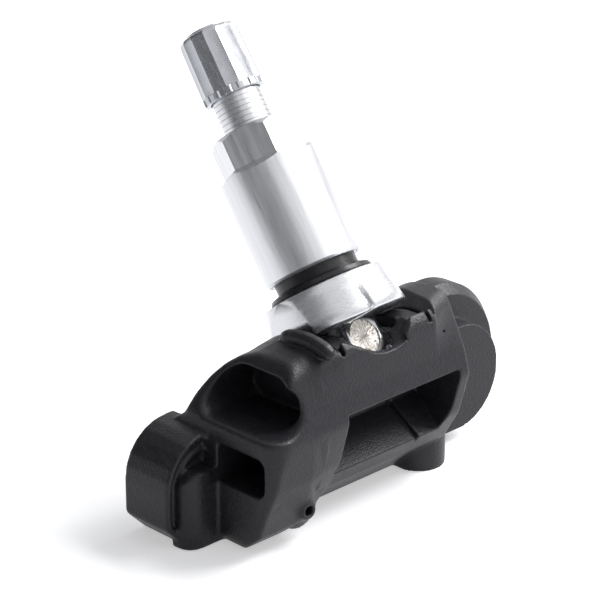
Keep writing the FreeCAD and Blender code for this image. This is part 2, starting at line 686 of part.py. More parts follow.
# Tongue with its rounded corner and raised lip, and the wall in front of it
tongue_points = [
    ("tongue_left", "2.5"),
    ("tongue_left + 2.5", "0"),
    ("block_left + 3", "0"),
    ("block_left + 3", "tongue_height"),
    ("tongue_left + tongue_corner", "tongue_height"),
    ("tongue_left + 0.62 * tongue_corner", "tongue_height - 0.08 * tongue_corner"),
    ("tongue_left + 0.3 * tongue_corner", "tongue_height - 0.3 * tongue_corner"),
    ("tongue_left + 0.08 * tongue_corner", "tongue_height - 0.62 * tongue_corner"),
    ("tongue_left", "tongue_height - tongue_corner"),
]
tongue = padded("tongue", "front", tongue_points, "-back_y", "-tongue_front")
lip_outside = padded("lip_outside", "front", tongue_points, "-tongue_front", "-tongue_front + lip_height")
lip_inside = box("lip_inside", ("tongue_left + lip_width + 1.2", "0", "-1"),
                 ("block_left + 4", "tongue_front + 1", "tongue_height - lip_width - 1.2"))
tongue_lip = cut("tongue_lip", lip_outside, [lip_inside])
web = box("web", ("web_left", "web_front", "0"), ("block_left + 2", "tongue_front + 1", "web_height"))

# Battery lobe in two steps, and the foot at the front right
front_lobe = rod("front_lobe", "lobe_radius", ("lobe_x", "lobe_front", "lobe_z"),
                 "lobe_back - 1 - (lobe_front)", "y")
front_neck = box("front_neck", ("bridge_right - 4", "lobe_front", "lobe_z - lobe_radius"),
                 ("lobe_x", "lobe_back - 1", "lobe_z + 0.6 * lobe_radius"))
rear_edge = doc.addObject("Part::Cone", "rear_edge")
rear_edge.Placement.Rotation = FreeCAD.Rotation(FreeCAD.Vector(1, 0, 0), -90)
bind(rear_edge, "Radius1", "step_radius")
bind(rear_edge, "Radius2", "rear_lobe_radius")
bind(rear_edge, "Height", "rear_lobe_edge")
for letter, place in zip("xyz", ("lobe_x", "step_y", "rear_lobe_z")):
    bind(rear_edge, f".Placement.Base.{letter}", place)
rear_lobe = rod("rear_lobe", "rear_lobe_radius", ("lobe_x", "step_y + rear_lobe_edge", "rear_lobe_z"),
                "lobe_back - (step_y + rear_lobe_edge)", "y")
rear_neck = box("rear_neck", ("bridge_right - 4", "step_y + rear_lobe_edge", "0"),
                ("lobe_x", "lobe_back", "rear_lobe_z + 0.45 * rear_lobe_radius"))
boss = rod("boss", "boss_radius", ("boss_x", "boss_y", "0"), "boss_height")
underside = box("underside", ("-60", "-60", "-60"), ("60", "60", "0"))
lobes_raw = fuse("lobes_raw", [front_lobe, front_neck, rear_edge, rear_lobe, rear_neck])
lobes = cut("lobes", lobes_raw, [underside])


def arc_bar(name, radius, low_x, high_x, front, back):
    """Sector about the tilt line, between two angles from upright."""
    sector = doc.addObject("Part::Cylinder", name)
    bind(sector, "Radius", radius)
    bind(sector, "Height", f"({high_x}) - ({low_x})")
    bind(sector, "Angle", f"({front}) + ({back})")
    turn = f"rotation(vector(1; 0; 0); 180 - ({back})) * rotation(vector(0; 1; 0); 90)"
    bind(sector, ".Placement", f"placement(vector({low_x}; pivot_y; pivot_z); {turn})")
    return sector


# Raised rib beside the left slot: eight-sided, bent about the tilt line and tapered at both ends
rib_sections = []
for share, fullness in ((0, 0.35), (0.05, 0.8), (0.14, 1), (0.34, 1), (0.54, 1), (0.74, 1), (0.88, 1),
                        (0.96, 0.8), (1, 0.35)):
    bend = math.radians(size(f"rib_front - {share} * (rib_front + rib_back)"))
    ring = []
    for corner in range(9):
        angle = math.radians(45 * corner + 22.5)
        reach = size("rib_ring") + fullness * size("rib_radius") * math.sin(angle)
        ring.append(FreeCAD.Vector(size("rib_x") + fullness * size("rib_radius") * math.cos(angle),
                                   size("pivot_y") - reach * math.sin(bend),
                                   size("pivot_z") + reach * math.cos(bend)))
    rib_sections.append(Part.makePolygon(ring))
rib = doc.addObject("Part::Feature", "rib")
rib.Shape = Part.makeLoft(rib_sections, True, True)
housing_outside = fuse("housing_outside", arch_spans + [
    air_boss, tongue, tongue_lip, web, lobes, boss, rib])

# Seat of the flange: everything outside its curve is cleared between sloping shoulders
seat_sector = arc_bar("seat_sector", "recess_reach", "-seat_half - recess_reach", "seat_half + recess_reach",
                      "seat_front", "recess_back")
seat_flared = "seat_half + seat_flare * (recess_reach - seat_radius)"
seat_ring = turned("seat_ring", [
    ("seat_radius", "-seat_half"),
    ("recess_reach", f"-({seat_flared})"),
    ("recess_reach", seat_flared),
    ("seat_radius", "seat_half"),
])
bind(seat_ring, ".Placement", "placement(vector(0; pivot_y; pivot_z); rotation(vector(0; 1; 0); 90))")
seat_clear = common("seat_clear", seat_sector, seat_ring)

# Chamber of the clamp foot under the arch
chamber_rod = rod("chamber_rod", "seat_radius - arch_wall", ("-chamber_half", "pivot_y", "pivot_z"),
                  "2 * chamber_half", "x")
chamber_space = padded("chamber_space", "side", [
    ("chamber_front", "chamber_floor_front"),
    ("chamber_front + 5.7", "chamber_floor_back + 0.6"),
    ("chamber_back", "chamber_floor_back"),
    ("chamber_back", "pivot_z + seat_radius"),
    ("chamber_front", "pivot_z + seat_radius"),
], "-chamber_half - 1", "chamber_half + 1")
chamber = common("chamber", chamber_rod, chamber_space)

# Rounded opening in front of the lug, slot round the lug, way for the driver and two curved slots
opening_front = rod("opening_front", "opening_radius",
                    ("0", "nose_y - 3", "opening_foot_z + opening_radius"), "pivot_y - (nose_y) + 3", "y")
opening_top = arc_bar("opening_top", "recess_reach", "-opening_half", "opening_half", "0",
                      "valve_lean + opening_back")
driver_bar = rod("driver_bar", "driver_way", ("0", "0", "0"), "recess_reach + 4", "y")
driver_turn = "rotation(vector(1; 0; 0); -valve_lean)"
placed(driver_bar, f"placement(vector(0; pivot_y; pivot_z); {driver_turn})"
       " * placement(vector(0; 0; screw_height); rotation(vector(1; 0; 0); -90))")
left_slot = arc_bar("left_slot", "recess_reach", "-slot_x - slot_width / 2", "-slot_x + slot_width / 2",
                    "slot_end", "valve_lean")
right_slot = arc_bar("right_slot", "recess_reach", "slot_x - slot_width / 2", "slot_x + slot_width / 2",
                     "slot_end", "valve_lean")

# Window with its sloping floor and roof
window_face = padded("window_face", "front", [
    ("window_left", "window_top"),
    ("window_left", "window_flare"),
    ("window_foot_left", "window_bottom"),
    ("window_foot_right", "window_bottom"),
    ("window_right", "window_knee"),
    ("window_right", "window_top"),
], "-(window_back)", "-(nose_y) + 3")
window_depth = padded("window_depth", "side", [
    ("nose_y - 3", "window_top"),
    ("nose_y + 1", "window_top"),
    ("window_back", "window_back_top"),
    ("window_back", "window_back_floor"),
    ("rim_y - 1.6", "window_bottom"),
    ("nose_y - 3", "window_bottom"),
], "window_foot_left - 1", "window_right + 1")
window = common("window", window_face, window_depth)
floor_slope = "atan((window_back_floor - window_bottom) / (window_back - rim_y + 1.6))"
groove = box("groove", ("0", "-2", "-groove_depth"), ("groove_width", "7.4", "groove_depth"))
groove_turn = f"rotation(vector(1; 0; 0); {floor_slope})"
placed(groove, f"placement(vector(groove_x; rim_y - 1.6; window_bottom); {groove_turn})"
       " * placement(vector(0; -2; -groove_depth); rotation(vector(1; 0; 0); 0))")

# Upper opening at the left end: bore, leaning rim and the cut in its front wall
mouth_bore = padded("mouth_bore", "side", [
    ("mouth_front", "mouth_bottom + mouth_corner"),
    ("mouth_front + mouth_corner", "mouth_bottom"),
    ("mouth_back - mouth_corner", "mouth_bottom"),
    ("mouth_back", "mouth_bottom + mouth_corner"),
    ("mouth_back - 0.3", "mouth_top - 0.8 * mouth_arch"),
    ("mouth_back - 0.35 * mouth_arch", "mouth_top - 0.35 * mouth_arch"),
    ("mouth_back - mouth_arch", "mouth_top"),
    ("mouth_front + 0.5 * mouth_arch", "mouth_top"),
    ("mouth_front + 0.1 * mouth_arch", "mouth_top - 0.3 * mouth_arch"),
], "block_left - 1", "mouth_end")
rim_cut = box("rim_cut", ("0", "-30", "0"), ("20", "30", "30"))
placed(rim_cut, "placement(vector(block_left; 0; mouth_bottom); rotation(vector(0; 1; 0); mouth_slant))"
       " * placement(vector(-20; -30; 0); rotation(vector(0; 0; 1); 0))")
scoop = doc.addObject("Part::Cone", "scoop")
scoop.Placement.Rotation = FreeCAD.Rotation(FreeCAD.Vector(1, 0, 0), 90)
bind(scoop, "Radius1", "scoop_radius")
bind(scoop, "Radius2", "scoop_radius + 2 * scoop_flare")
bind(scoop, "Height", "4")
for letter, place in zip("xyz", ("scoop_x", "mouth_front + 0.6", "scoop_z")):
    bind(scoop, f".Placement.Base.{letter}", place)

# Side opening below it
port = padded("port", "side", [
    ("port_front", "port_bottom + port_corner"),
    ("port_front + port_corner", "port_bottom"),
    ("port_back", "port_bottom"),
    ("port_back", "port_top"),
    ("port_front + port_corner", "port_top"),
    ("port_front", "port_top - port_corner"),
], "block_left - 1", "block_left + port_depth")

# Bay of the electronics, open at the back, and the pocket of the coin cell
bay = box("bay", ("bay_left", "bay_front", "bay_floor"), ("bay_right", "back_y + 1", "bay_top"))
cell_pocket = rod("cell_pocket", "battery_radius + cell_gap", ("lobe_x", "cell_front", "lobe_z"),
                  "lobe_back + 1 - (cell_front)", "y")
cell_way = box("cell_way", ("bay_right - 1", "bay_front", "lobe_z - 5"),
               ("lobe_x", "way_back", "lobe_z + 2.7"))
tab_notch = box("tab_notch", ("front_tab_x - cell_gap", "cell_front",
                              "lobe_z - front_tab_drop - tab_width - cell_gap"),
                ("lobe_x", "bay_front + 1", "lobe_z - front_tab_drop + cell_gap"))
air_hole = rod("air_hole", "air_radius", ("air_x", "air_boss_front - 1", "air_z"),
               "bay_front + 2 - (air_boss_front)", "y")
housing_cut = cut_in_turn("housing", housing_outside, [
    seat_clear, chamber, opening_front, opening_top, driver_bar, left_slot, right_slot,
    window, groove, mouth_bore, rim_cut, scoop, port, bay, cell_pocket, cell_way, tab_notch, air_hole])

# Posts that the circuit board lies on
post_places = [("bay_left + 2", "bay_floor + 2"), ("bay_left + 2", "bay_top - 2"), ("0", "bay_floor + 2"),
               ("0", "bay_top - 2"), ("bay_right - 2", "bay_floor + 2"), ("bay_right - 2", "bay_top - 2")]
posts = []
for index, (post_x, post_z) in enumerate(post_places):
    posts.append(rod(f"post_{index}", "post_radius", (post_x, "bay_front - 0.2", post_z),
                     "board_y - part_gap - (bay_front) + 0.2", "y"))
housing = node(fuse("housing", [housing_cut] + posts), "housing")

# Circuit board on its posts, and the pieces soldered to its front

board_left = "(bay_left + 0.4)"
board_right = "(bay_right - 0.4)"
circuit_board = node(box("circuit_board", (board_left, "board_y", "bay_floor + 0.4"),
                         (board_right, "board_y + board_thickness", "bay_top - 0.4")), "circuit_board")
chip_low = ("air_x - chip_width / 2", "board_y - part_gap - chip_thickness", "air_z - chip_height / 2 + 0.9")
chip_high = ("air_x + chip_width / 2", "board_y - part_gap", "air_z + chip_height / 2 + 0.9")
sensor_chip = node(box("sensor_chip", chip_low, chip_high), "sensor_chip")
gasket_front = "(bay_front + part_gap)"
gasket_length = "(board_y - part_gap * 3 - chip_thickness - bay_front)"
gasket_ring = rod("gasket_ring", "gasket_radius", ("air_x", gasket_front, "air_z"), gasket_length, "y")
gasket_hole = rod("gasket_hole", "air_radius", ("air_x", f"{gasket_front} - 1", "air_z"),
                  f"{gasket_length} + 2", "y")
port_gasket = node(cut("port_gasket", gasket_ring, [gasket_hole]), "port_gasket")

coil_low = "(bay_floor + 5)"
coil_front = "(board_y - part_gap - coil_height)"
coil_middle = box("coil_middle", ("coil_x + 1", f"{coil_front} + 0.3", f"{coil_low} + 0.3"),
                  ("coil_x + coil_length - 1", "board_y - part_gap - 0.3",
                   f"{coil_low} + coil_height - 0.3"))
coil_ends = [box("coil_left", ("coil_x", coil_front, coil_low),
                 ("coil_x + 1", "board_y - part_gap", f"{coil_low} + coil_height")),
             box("coil_right", ("coil_x + coil_length - 1", coil_front, coil_low),
                 ("coil_x + coil_length", "board_y - part_gap", f"{coil_low} + coil_height"))]
lf_coil = node(fuse("lf_coil", [coil_middle] + coil_ends), "lf_coil")
crystal = node(box("crystal", ("crystal_x", "board_y - part_gap - crystal_thickness", "bay_floor + 3"),
                   ("crystal_x + crystal_length", "board_y - part_gap", "bay_floor + 3 + crystal_height")),
               "crystal")
cap_chips = []
for index in range(4):
    left = f"(cap_chip_x + {index} * cap_chip_pitch)"
    cap_chips.append(box(f"cap_chip_{index}", (left, "board_y - part_gap - cap_chip_width", "bay_top - 2.4"),
                         (f"{left} + cap_chip_length", "board_y - part_gap",
                          "bay_top - 2.4 + cap_chip_width")))
chip_capacitors = node(fuse("chip_capacitors", cap_chips), "chip_capacitors")

# Antenna loop: flat strip on two feet behind the board

strip_back = "(board_y + board_thickness + antenna_stand)"
strip_z = "(bay_top - 3)"
antenna_strip = box("antenna_strip", ("bay_left + 2", strip_back, f"{strip_z} - antenna_wire"),
                    ("bay_right - 2", f"{strip_back} + 0.4", f"{strip_z} + antenna_wire"))
foot_front = "board_y + board_thickness + part_gap"
antenna_feet = [box("antenna_left", ("bay_left + 2", foot_front, f"{strip_z} - antenna_wire"),
                    ("bay_left + 2.4", strip_back, f"{strip_z} + antenna_wire")),
                box("antenna_right", ("bay_right - 2.4", foot_front, f"{strip_z} - antenna_wire"),
                    ("bay_right - 2", strip_back, f"{strip_z} + antenna_wire"))]
antenna_loop = node(fuse("antenna_loop", [antenna_strip] + antenna_feet), "antenna_loop")

# Coin cell in its pocket, with one welded tab on each face that runs to the board

cell_low = "(cell_front + part_gap * 2 + tab_thickness)"
cell_rod = rod("battery_cell", "battery_radius", ("lobe_x", cell_low, "lobe_z"), "battery_height", "y")
battery_cell = node(cell_rod, "battery_cell")
rear_tab_y = f"({cell_low} + battery_height + part_gap)"
rear_tab_low = "(lobe_z - rear_tab_drop - tab_width)"
rear_tab = box("rear_tab", ("tab_foot_x", rear_tab_y, rear_tab_low),
               ("lobe_x", f"{rear_tab_y} + tab_thickness", f"{rear_tab_low} + tab_width"))
rear_riser = box("rear_riser", ("tab_foot_x", rear_tab_y, rear_tab_low),
                 ("tab_foot_x + tab_thickness", "board_y - part_gap", f"{rear_tab_low} + tab_width"))
battery_tab_rear = node(fuse("battery_tab_rear", [rear_tab, rear_riser]), "battery_tab_rear")
front_tab_y = "(cell_front + part_gap)"
front_tab_low = "(lobe_z - front_tab_drop - tab_width)"
front_tab_high = "(lobe_z - front_tab_drop)"
front_tab = box("front_tab", ("front_tab_x", front_tab_y, front_tab_low),
                ("lobe_x", f"{front_tab_y} + tab_thickness", front_tab_high))
front_riser = box("front_riser", ("front_tab_x", front_tab_y, front_tab_low),
                  ("front_tab_x + tab_thickness", "board_y - part_gap", front_tab_high))
front_foot = box("front_foot", ("tab_foot_x", "board_y - part_gap - tab_thickness", front_tab_low),
                 ("front_tab_x + tab_thickness", "board_y - part_gap", front_tab_high))
front_tab_whole = fuse("battery_tab_front", [front_tab, front_riser, front_foot])
battery_tab_front = node(front_tab_whole, "battery_tab_front")

# Sealing compound that closes the bay and the cell's pocket at the back

bay_fill = box("bay_fill", ("bay_left + part_gap", "back_y - 0.2 - fill_depth", "bay_floor + part_gap"),
               ("bay_right - part_gap", "back_y - 0.2", "bay_top - part_gap"))
bay_seal = node(bay_fill, "bay_seal")
cell_fill = rod("cell_seal", "battery_radius + cell_gap - part_gap",
                ("lobe_x", "lobe_back - 0.2 - fill_depth / 2", "lobe_z"), "fill_depth / 2", "y")
cell_seal = node(cell_fill, "cell_seal")

# Check and write

doc.recompute()
failed = [item.Name for item in doc.Objects if any(word in ("Invalid", "Error") for word in item.State)]
if failed:
    raise RuntimeError("objects that failed: " + ", ".join(failed))
for item in nodes:
    if item.Shape.isNull() or not item.Shape.isValid() or not item.Shape.Solids:
        raise RuntimeError("no valid solid: " + item.Label)
os.makedirs("parts", exist_ok=True)
for item in nodes:
    item.Shape.exportStep(os.path.join("parts", item.Label + ".step"))
print(len(nodes), "nodes written")
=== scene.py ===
import math

import bmesh
import bpy
import numpy
from mathutils import Matrix, Vector


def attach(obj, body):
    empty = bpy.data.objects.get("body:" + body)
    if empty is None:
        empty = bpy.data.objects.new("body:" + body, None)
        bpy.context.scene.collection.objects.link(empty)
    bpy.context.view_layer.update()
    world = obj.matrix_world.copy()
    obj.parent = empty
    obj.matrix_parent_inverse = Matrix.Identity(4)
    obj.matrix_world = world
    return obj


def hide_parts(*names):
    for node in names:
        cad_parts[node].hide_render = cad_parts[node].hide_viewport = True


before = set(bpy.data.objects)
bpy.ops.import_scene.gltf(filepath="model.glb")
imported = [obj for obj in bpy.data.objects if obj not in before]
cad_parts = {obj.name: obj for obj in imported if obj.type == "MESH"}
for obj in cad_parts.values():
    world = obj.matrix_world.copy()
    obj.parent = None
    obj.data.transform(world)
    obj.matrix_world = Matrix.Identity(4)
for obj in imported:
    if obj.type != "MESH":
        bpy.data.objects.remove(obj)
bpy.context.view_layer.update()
scene = bpy.context.scene
scene.view_settings.view_transform = "Standard"

# Camera: it looks down on the sensor without a roll, with the left end nearest.
# A long lens keeps the perspective low, as in a catalogue picture.

view_turn = math.radians(-44.5)
view_rise = math.radians(22.0)
view_angle = math.radians(14.0)
view_distance = 0.365
aim_point = Vector((0.0, -0.00041, 0.02643))
aim_pixel = (341, 328)
frame_pixels = 600

view_back = Vector((math.sin(view_turn) * math.cos(view_rise), -math.cos(view_turn) * math.cos(view_rise),
                    math.sin(view_rise)))
view_right = Vector((math.cos(view_turn), math.sin(view_turn), 0.0))
view_up = view_back.cross(view_right)
half_frame = frame_pixels / 2
focal_pixels = half_frame / math.tan(view_angle / 2)
aim_right = (aim_pixel[0] - half_frame) / focal_pixels
aim_up = (half_frame - aim_pixel[1]) / focal_pixels
camera_data = bpy.data.cameras.new("camera")
camera_data.sensor_width = 36.0
camera_data.lens = camera_data.sensor_width / 2 / math.tan(view_angle / 2)
camera_data.clip_start = 0.02
camera_data.clip_end = 20.0
camera = bpy.data.objects.new("camera", camera_data)
camera_place = aim_point + view_distance * (view_back - aim_right * view_right - aim_up * view_up)
camera_turn = Matrix((view_right, view_up, view_back)).transposed().to_4x4()
camera.matrix_world = Matrix.Translation(camera_place) @ camera_turn
scene.collection.objects.link(camera)
scene.camera = camera

# Studio: white floor that keeps a soft shadow, a white surround, a large soft light at the right,
# a stronger one behind it, and two grey cards at the left that metal and plastic mirror.


def new_material(name):
    """Material with empty node tree, and its output."""
    material = bpy.data.materials.new(name)
    material.use_nodes = True
    material.node_tree.nodes.clear()
    output = material.node_tree.nodes.new("ShaderNodeOutputMaterial")
    return material, output


def add_node(tree, kind, values=(), **settings):
    """Node with its settings and its sockets' plain values."""
    node = tree.nodes.new(kind)
    for setting, value in settings.items():
        setattr(node, setting, value)
    for socket, value in dict(values).items():
        node.inputs[socket].default_value = value
    return node


def flat_object(name, corners):
    """One face between corners."""
    mesh = bpy.data.meshes.new(name)
    mesh.from_pydata([tuple(corner) for corner in corners], [], [tuple(range(len(corners)))])
    thing = bpy.data.objects.new(name, mesh)
    scene.collection.objects.link(thing)
    return thing


def seen_directly(tree):
    """1 for rays from the camera, and for those that gloss or glass sends on."""
    path = tree.nodes.new("ShaderNodeLightPath")
    either = add_node(tree, "ShaderNodeMath", operation="MAXIMUM")
    tree.links.new(path.outputs["Is Camera Ray"], either.inputs[0])
    tree.links.new(path.outputs["Is Glossy Ray"], either.inputs[1])
    any_of = add_node(tree, "ShaderNodeMath", operation="MAXIMUM")
    tree.links.new(either.outputs[0], any_of.inputs[0])
    tree.links.new(path.outputs["Is Transmission Ray"], any_of.inputs[1])
    return any_of.outputs[0]


floor_reach = 6.0
floor_glow_strength = 0.45
floor = flat_object("floor", [(-floor_reach, -floor_reach, 0), (floor_reach, -floor_reach, 0),
                              (floor_reach, floor_reach, 0), (-floor_reach, floor_reach, 0)])
floor_material, floor_output = new_material("studio_floor")
tree = floor_material.node_tree
floor_paint = add_node(tree, "ShaderNodeBsdfDiffuse", {"Color": (0.8, 0.8, 0.82, 1.0)})
floor_glow = add_node(tree, "ShaderNodeEmission", {"Color": (1.0, 1.0, 1.0, 1.0)})
floor_lift = add_node(tree, "ShaderNodeMath", {1: floor_glow_strength}, operation="MULTIPLY")
tree.links.new(seen_directly(tree), floor_lift.inputs[0])
tree.links.new(floor_lift.outputs[0], floor_glow.inputs["Strength"])
floor_mix = tree.nodes.new("ShaderNodeAddShader")
tree.links.new(floor_paint.outputs[0], floor_mix.inputs[0])
tree.links.new(floor_glow.outputs[0], floor_mix.inputs[1])
tree.links.new(floor_mix.outputs[0], floor_output.inputs["Surface"])
floor.data.materials.append(floor_material)

world_fill_strength = 0.3
world = bpy.data.worlds.new("studio")
world.use_nodes = True
scene.world = world
tree = world.node_tree
tree.nodes.clear()
world_output = tree.nodes.new("ShaderNodeOutputWorld")
world_fill = add_node(tree, "ShaderNodeBackground", {"Color": (0.93, 0.95, 1.0, 1.0),
                                                     "Strength": world_fill_strength})
world_white = add_node(tree, "ShaderNodeBackground", {"Color": (1.0, 1.0, 1.0, 1.0), "Strength": 1.0})
world_mix = tree.nodes.new("ShaderNodeMixShader")
tree.links.new(seen_directly(tree), world_mix.inputs["Fac"])
tree.links.new(world_fill.outputs[0], world_mix.inputs[1])
tree.links.new(world_white.outputs[0], world_mix.inputs[2])
tree.links.new(world_mix.outputs[0], world_output.inputs["Surface"])

light_centre = Vector((0.0, 0.0, 0.03))
ground_back = Vector((view_back.x, view_back.y, 0)).normalized()


def around(angle, rise):
    """Direction from the sensor, turned from the camera's side towards the picture's right."""
    turn = math.radians(angle)
    height = math.radians(rise)
    level = math.cos(turn) * ground_back + math.sin(turn) * view_right
    return (math.cos(height) * level + math.sin(height) * Vector((0, 0, 1))).normalized()


def soft_light(name, angle, rise, distance, width, height, power):
    """Rectangular soft light that faces the sensor."""
    data = bpy.data.lights.new(name, "AREA")
    data.shape = "RECTANGLE"
    data.size = width
    data.size_y = height
    data.energy = power
    lamp = bpy.data.objects.new(name, data)
    direction = around(angle, rise)
    lamp.matrix_world = (Matrix.Translation(light_centre + distance * direction)
                         @ direction.to_track_quat("Z", "Y").to_matrix().to_4x4())
    scene.collection.objects.link(lamp)


soft_light("key_light", angle=66, rise=40, distance=0.9, width=0.7, height=0.6, power=1.2)
soft_light("back_light", angle=118, rise=46, distance=0.9, width=0.6, height=0.5, power=13.0)


def card(name, angle, rise, distance, width, height, shade):
    """Plain card that faces the sensor and shows only in what mirrors it."""
    direction = around(angle, rise)
    centre = light_centre + distance * direction
    across = Vector((0, 0, 1)).cross(direction).normalized() * width / 2
    upward = direction.cross(across).normalized() * height / 2
    thing = flat_object(name, [centre - across - upward, centre + across - upward,
                               centre + across + upward, centre - across + upward])
    material, output = new_material(name + "_paint")
    paint = add_node(material.node_tree, "ShaderNodeBsdfDiffuse", {"Color": (shade, shade, shade, 1.0)})
    material.node_tree.links.new(paint.outputs[0], output.inputs["Surface"])
    thing.data.materials.append(material)
    thing.visible_camera = False


card("dark_card", angle=-43, rise=14, distance=0.36, width=0.52, height=0.42, shade=0.22)
card("side_card", angle=-108, rise=34, distance=0.5, width=0.6, height=0.5, shade=0.15)

# Housing: one piece of glass-filled black plastic, injection moulded, with softly rounded edges and
# a finely grained skin. Its left end, and its skin in front of the flange, have here the forms that
# the solid leaves plain.

mm = 0.001
valve_foot = Vector((0.0, -6.58, 17.93)) * mm


def copy_of(node_name, name):
    """Piece with a merged copy of a node's mesh."""
    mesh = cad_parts[node_name].data.copy()
    mesh.name = name
    mesh.materials.clear()
    shell = bmesh.new()
    shell.from_mesh(mesh)
    bmesh.ops.remove_doubles(shell, verts=shell.verts, dist=0.0005 * mm)
    shell.to_mesh(mesh)
    shell.free()
    piece = bpy.data.objects.new(name, mesh)
    scene.collection.objects.link(piece)
    return piece


def baked(piece):
    """Applies a piece's modifiers, so that a plain mesh is left."""
    bpy.context.view_layer.update()
    mesh = bpy.data.meshes.new_from_object(piece.evaluated_get(bpy.context.evaluated_depsgraph_get()))
    old = piece.data
    mesh.name = piece.name
    piece.modifiers.clear()
    piece.data = mesh
    bpy.data.meshes.remove(old)


def finish(piece, body, slot, material, *nodes):
    """Gives a piece its material and body, and hides the nodes that it stands for; slot is not used."""
    piece.data.materials.clear()
    piece.data.materials.append(material)
    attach(piece, body)
    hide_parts(*nodes)


def grained_plastic(name, dark, light, grain_size, grain_depth, roughness):
    """Moulded plastic: faint mottling of its colour, and a fine grain in its skin."""
    material, output = new_material(name)
    tree = material.node_tree
    place = tree.nodes.new("ShaderNodeTexCoord")
    mottle = add_node(tree, "ShaderNodeTexNoise", {"Scale": 1 / (grain_size * 2.2), "Detail": 3.0,
                                                   "Roughness": 0.6})
    tone = add_node(tree, "ShaderNodeMapRange", {"From Min": 0.3, "From Max": 0.7})
    paint = tree.nodes.new("ShaderNodeMix")
    paint.data_type = "RGBA"
    paint.inputs[6].default_value = (*dark, 1.0)
    paint.inputs[7].default_value = (*light, 1.0)
    grain = add_node(tree, "ShaderNodeTexNoise", {"Scale": 1 / grain_size, "Detail": 2.0,
                                                  "Roughness": 0.5})
    bump = add_node(tree, "ShaderNodeBump", {"Strength": 1.0, "Distance": grain_depth})
    gloss = add_node(tree, "ShaderNodeMapRange", {"From Min": 0.3, "From Max": 0.7,
                                                  "To Min": roughness - 0.05,
                                                  "To Max": roughness + 0.06})
    skin = add_node(tree, "ShaderNodeBsdfPrincipled", {"IOR": 1.36})
    for texture in (mottle, grain):
        tree.links.new(place.outputs["Object"], texture.inputs["Vector"])
    tree.links.new(mottle.outputs["Fac"], tone.inputs["Value"])
    tree.links.new(tone.outputs["Result"], paint.inputs[0])
    tree.links.new(paint.outputs[2], skin.inputs["Base Color"])
    tree.links.new(mottle.outputs["Fac"], gloss.inputs["Value"])
    tree.links.new(gloss.outputs["Result"], skin.inputs["Roughness"])
    tree.links.new(grain.outputs["Fac"], bump.inputs["Height"])
    tree.links.new(bump.outputs["Normal"], skin.inputs["Normal"])
    tree.links.new(skin.outputs[0], output.inputs["Surface"])
    return material


def places_of(piece):
    """Every vertex's place, as rows."""
    places = numpy.empty(3 * len(piece.data.vertices), dtype=numpy.float32)
    piece.data.vertices.foreach_get("co", places)
    return places.reshape(-1, 3)


def softened(piece, rounds, share):
    """Rounds a piece's edges; share gives each vertex's part of it, from 0 to 1."""
    soften = piece.modifiers.new("soften", "SMOOTH")
    soften.factor = 0.5
    soften.iterations = rounds
    near = piece.vertex_groups.new(name="near")
    levels = 16
    level_of = numpy.rint(numpy.clip(share, 0, 1) * levels).astype(int)
    for level in range(1, levels + 1):
        near.add(numpy.flatnonzero(level_of == level).tolist(), level / levels, "REPLACE")
    soften.vertex_group = near.name
    baked(piece)
    piece.vertex_groups.clear()


def near_path(piece, path, reach, full):
    """How near each vertex is to a path: 1 within full, 0 beyond reach."""
    spots = places_of(piece)
    distance = numpy.full(len(spots), reach)
    for start, end in zip(path, path[1:]):
        for share in (0, 0.25, 0.5, 0.75, 1):
            point = numpy.array(start.lerp(end, share))
            distance = numpy.minimum(distance, numpy.linalg.norm(spots - point, axis=1))
    return (reach - distance) / (reach - full)


def arc_outline(corners):
    """Closed outline whose corners, each a place across, a place up and a radius, are arcs."""
    steps = 6
    points = []
    for index, (across, up, radius) in enumerate(corners):
        corner = Vector((across, up))
        if not radius:
            points.append(corner)
            continue
        to_last = (Vector(corners[index - 1][:2]) - corner).normalized()
        to_next = (Vector(corners[(index + 1) % len(corners)][:2]) - corner).normalized()
        half = to_last.angle(to_next) / 2
        middle = corner + (to_last + to_next).normalized() * radius / math.sin(half)
        first = corner + to_last * radius / math.tan(half) - middle
        last = corner + to_next * radius / math.tan(half) - middle
        turn = math.pi - 2 * half
        for step in range(steps + 1):
            swing = turn * step / steps
            spoke = first * math.sin(turn - swing) + last * math.sin(swing)
            points.append(middle + spoke / math.sin(turn))
    return points


def ring_solid(name, rings):
    """Closed form through rings of equally many points in millimetres, with flat ends."""
    shell = bmesh.new()
    rows = [[shell.verts.new(Vector(point) * mm) for point in ring] for ring in rings]
    count = len(rows[0])
    for low, high in zip(rows, rows[1:]):
        for index in range(count):
            after = (index + 1) % count
            shell.faces.new((low[index], low[after], high[after], high[index]))
    shell.faces.new(rows[0])
    shell.faces.new(rows[-1])
    bmesh.ops.recalc_face_normals(shell, faces=shell.faces)
    mesh = bpy.data.meshes.new(name)
    shell.to_mesh(mesh)
    shell.free()
    form = bpy.data.objects.new(name, mesh)
    scene.collection.objects.link(form)
    return form


def pushed_along_x(name, corners, left, right):
    """Outline of Y, Z and radius, pushed along X."""
    outline = arc_outline(corners)
    return ring_solid(name, [[(x, spot.x, spot.y) for spot in outline] for x in (left, right)])


def pushed_along_y(name, corners, front, back):
    """Outline of X, Z and radius, pushed along Y."""
    outline = arc_outline(corners)
    return ring_solid(name, [[(spot.x, y, spot.y) for spot in outline] for y in (front, back)])


def pushed_along_z(name, corners, low, high):
    """Outline of X, Y and radius, pushed along Z."""
    outline = arc_outline(corners)
    return ring_solid(name, [[(spot.x, spot.y, z) for spot in outline] for z in (low, high)])


def block(name, low, high):
    """Box between two corners."""
    corners = [(low[0], low[1], 0), (high[0], low[1], 0), (high[0], high[1], 0), (low[0], high[1], 0)]
    return pushed_along_z(name, corners, low[2], high[2])


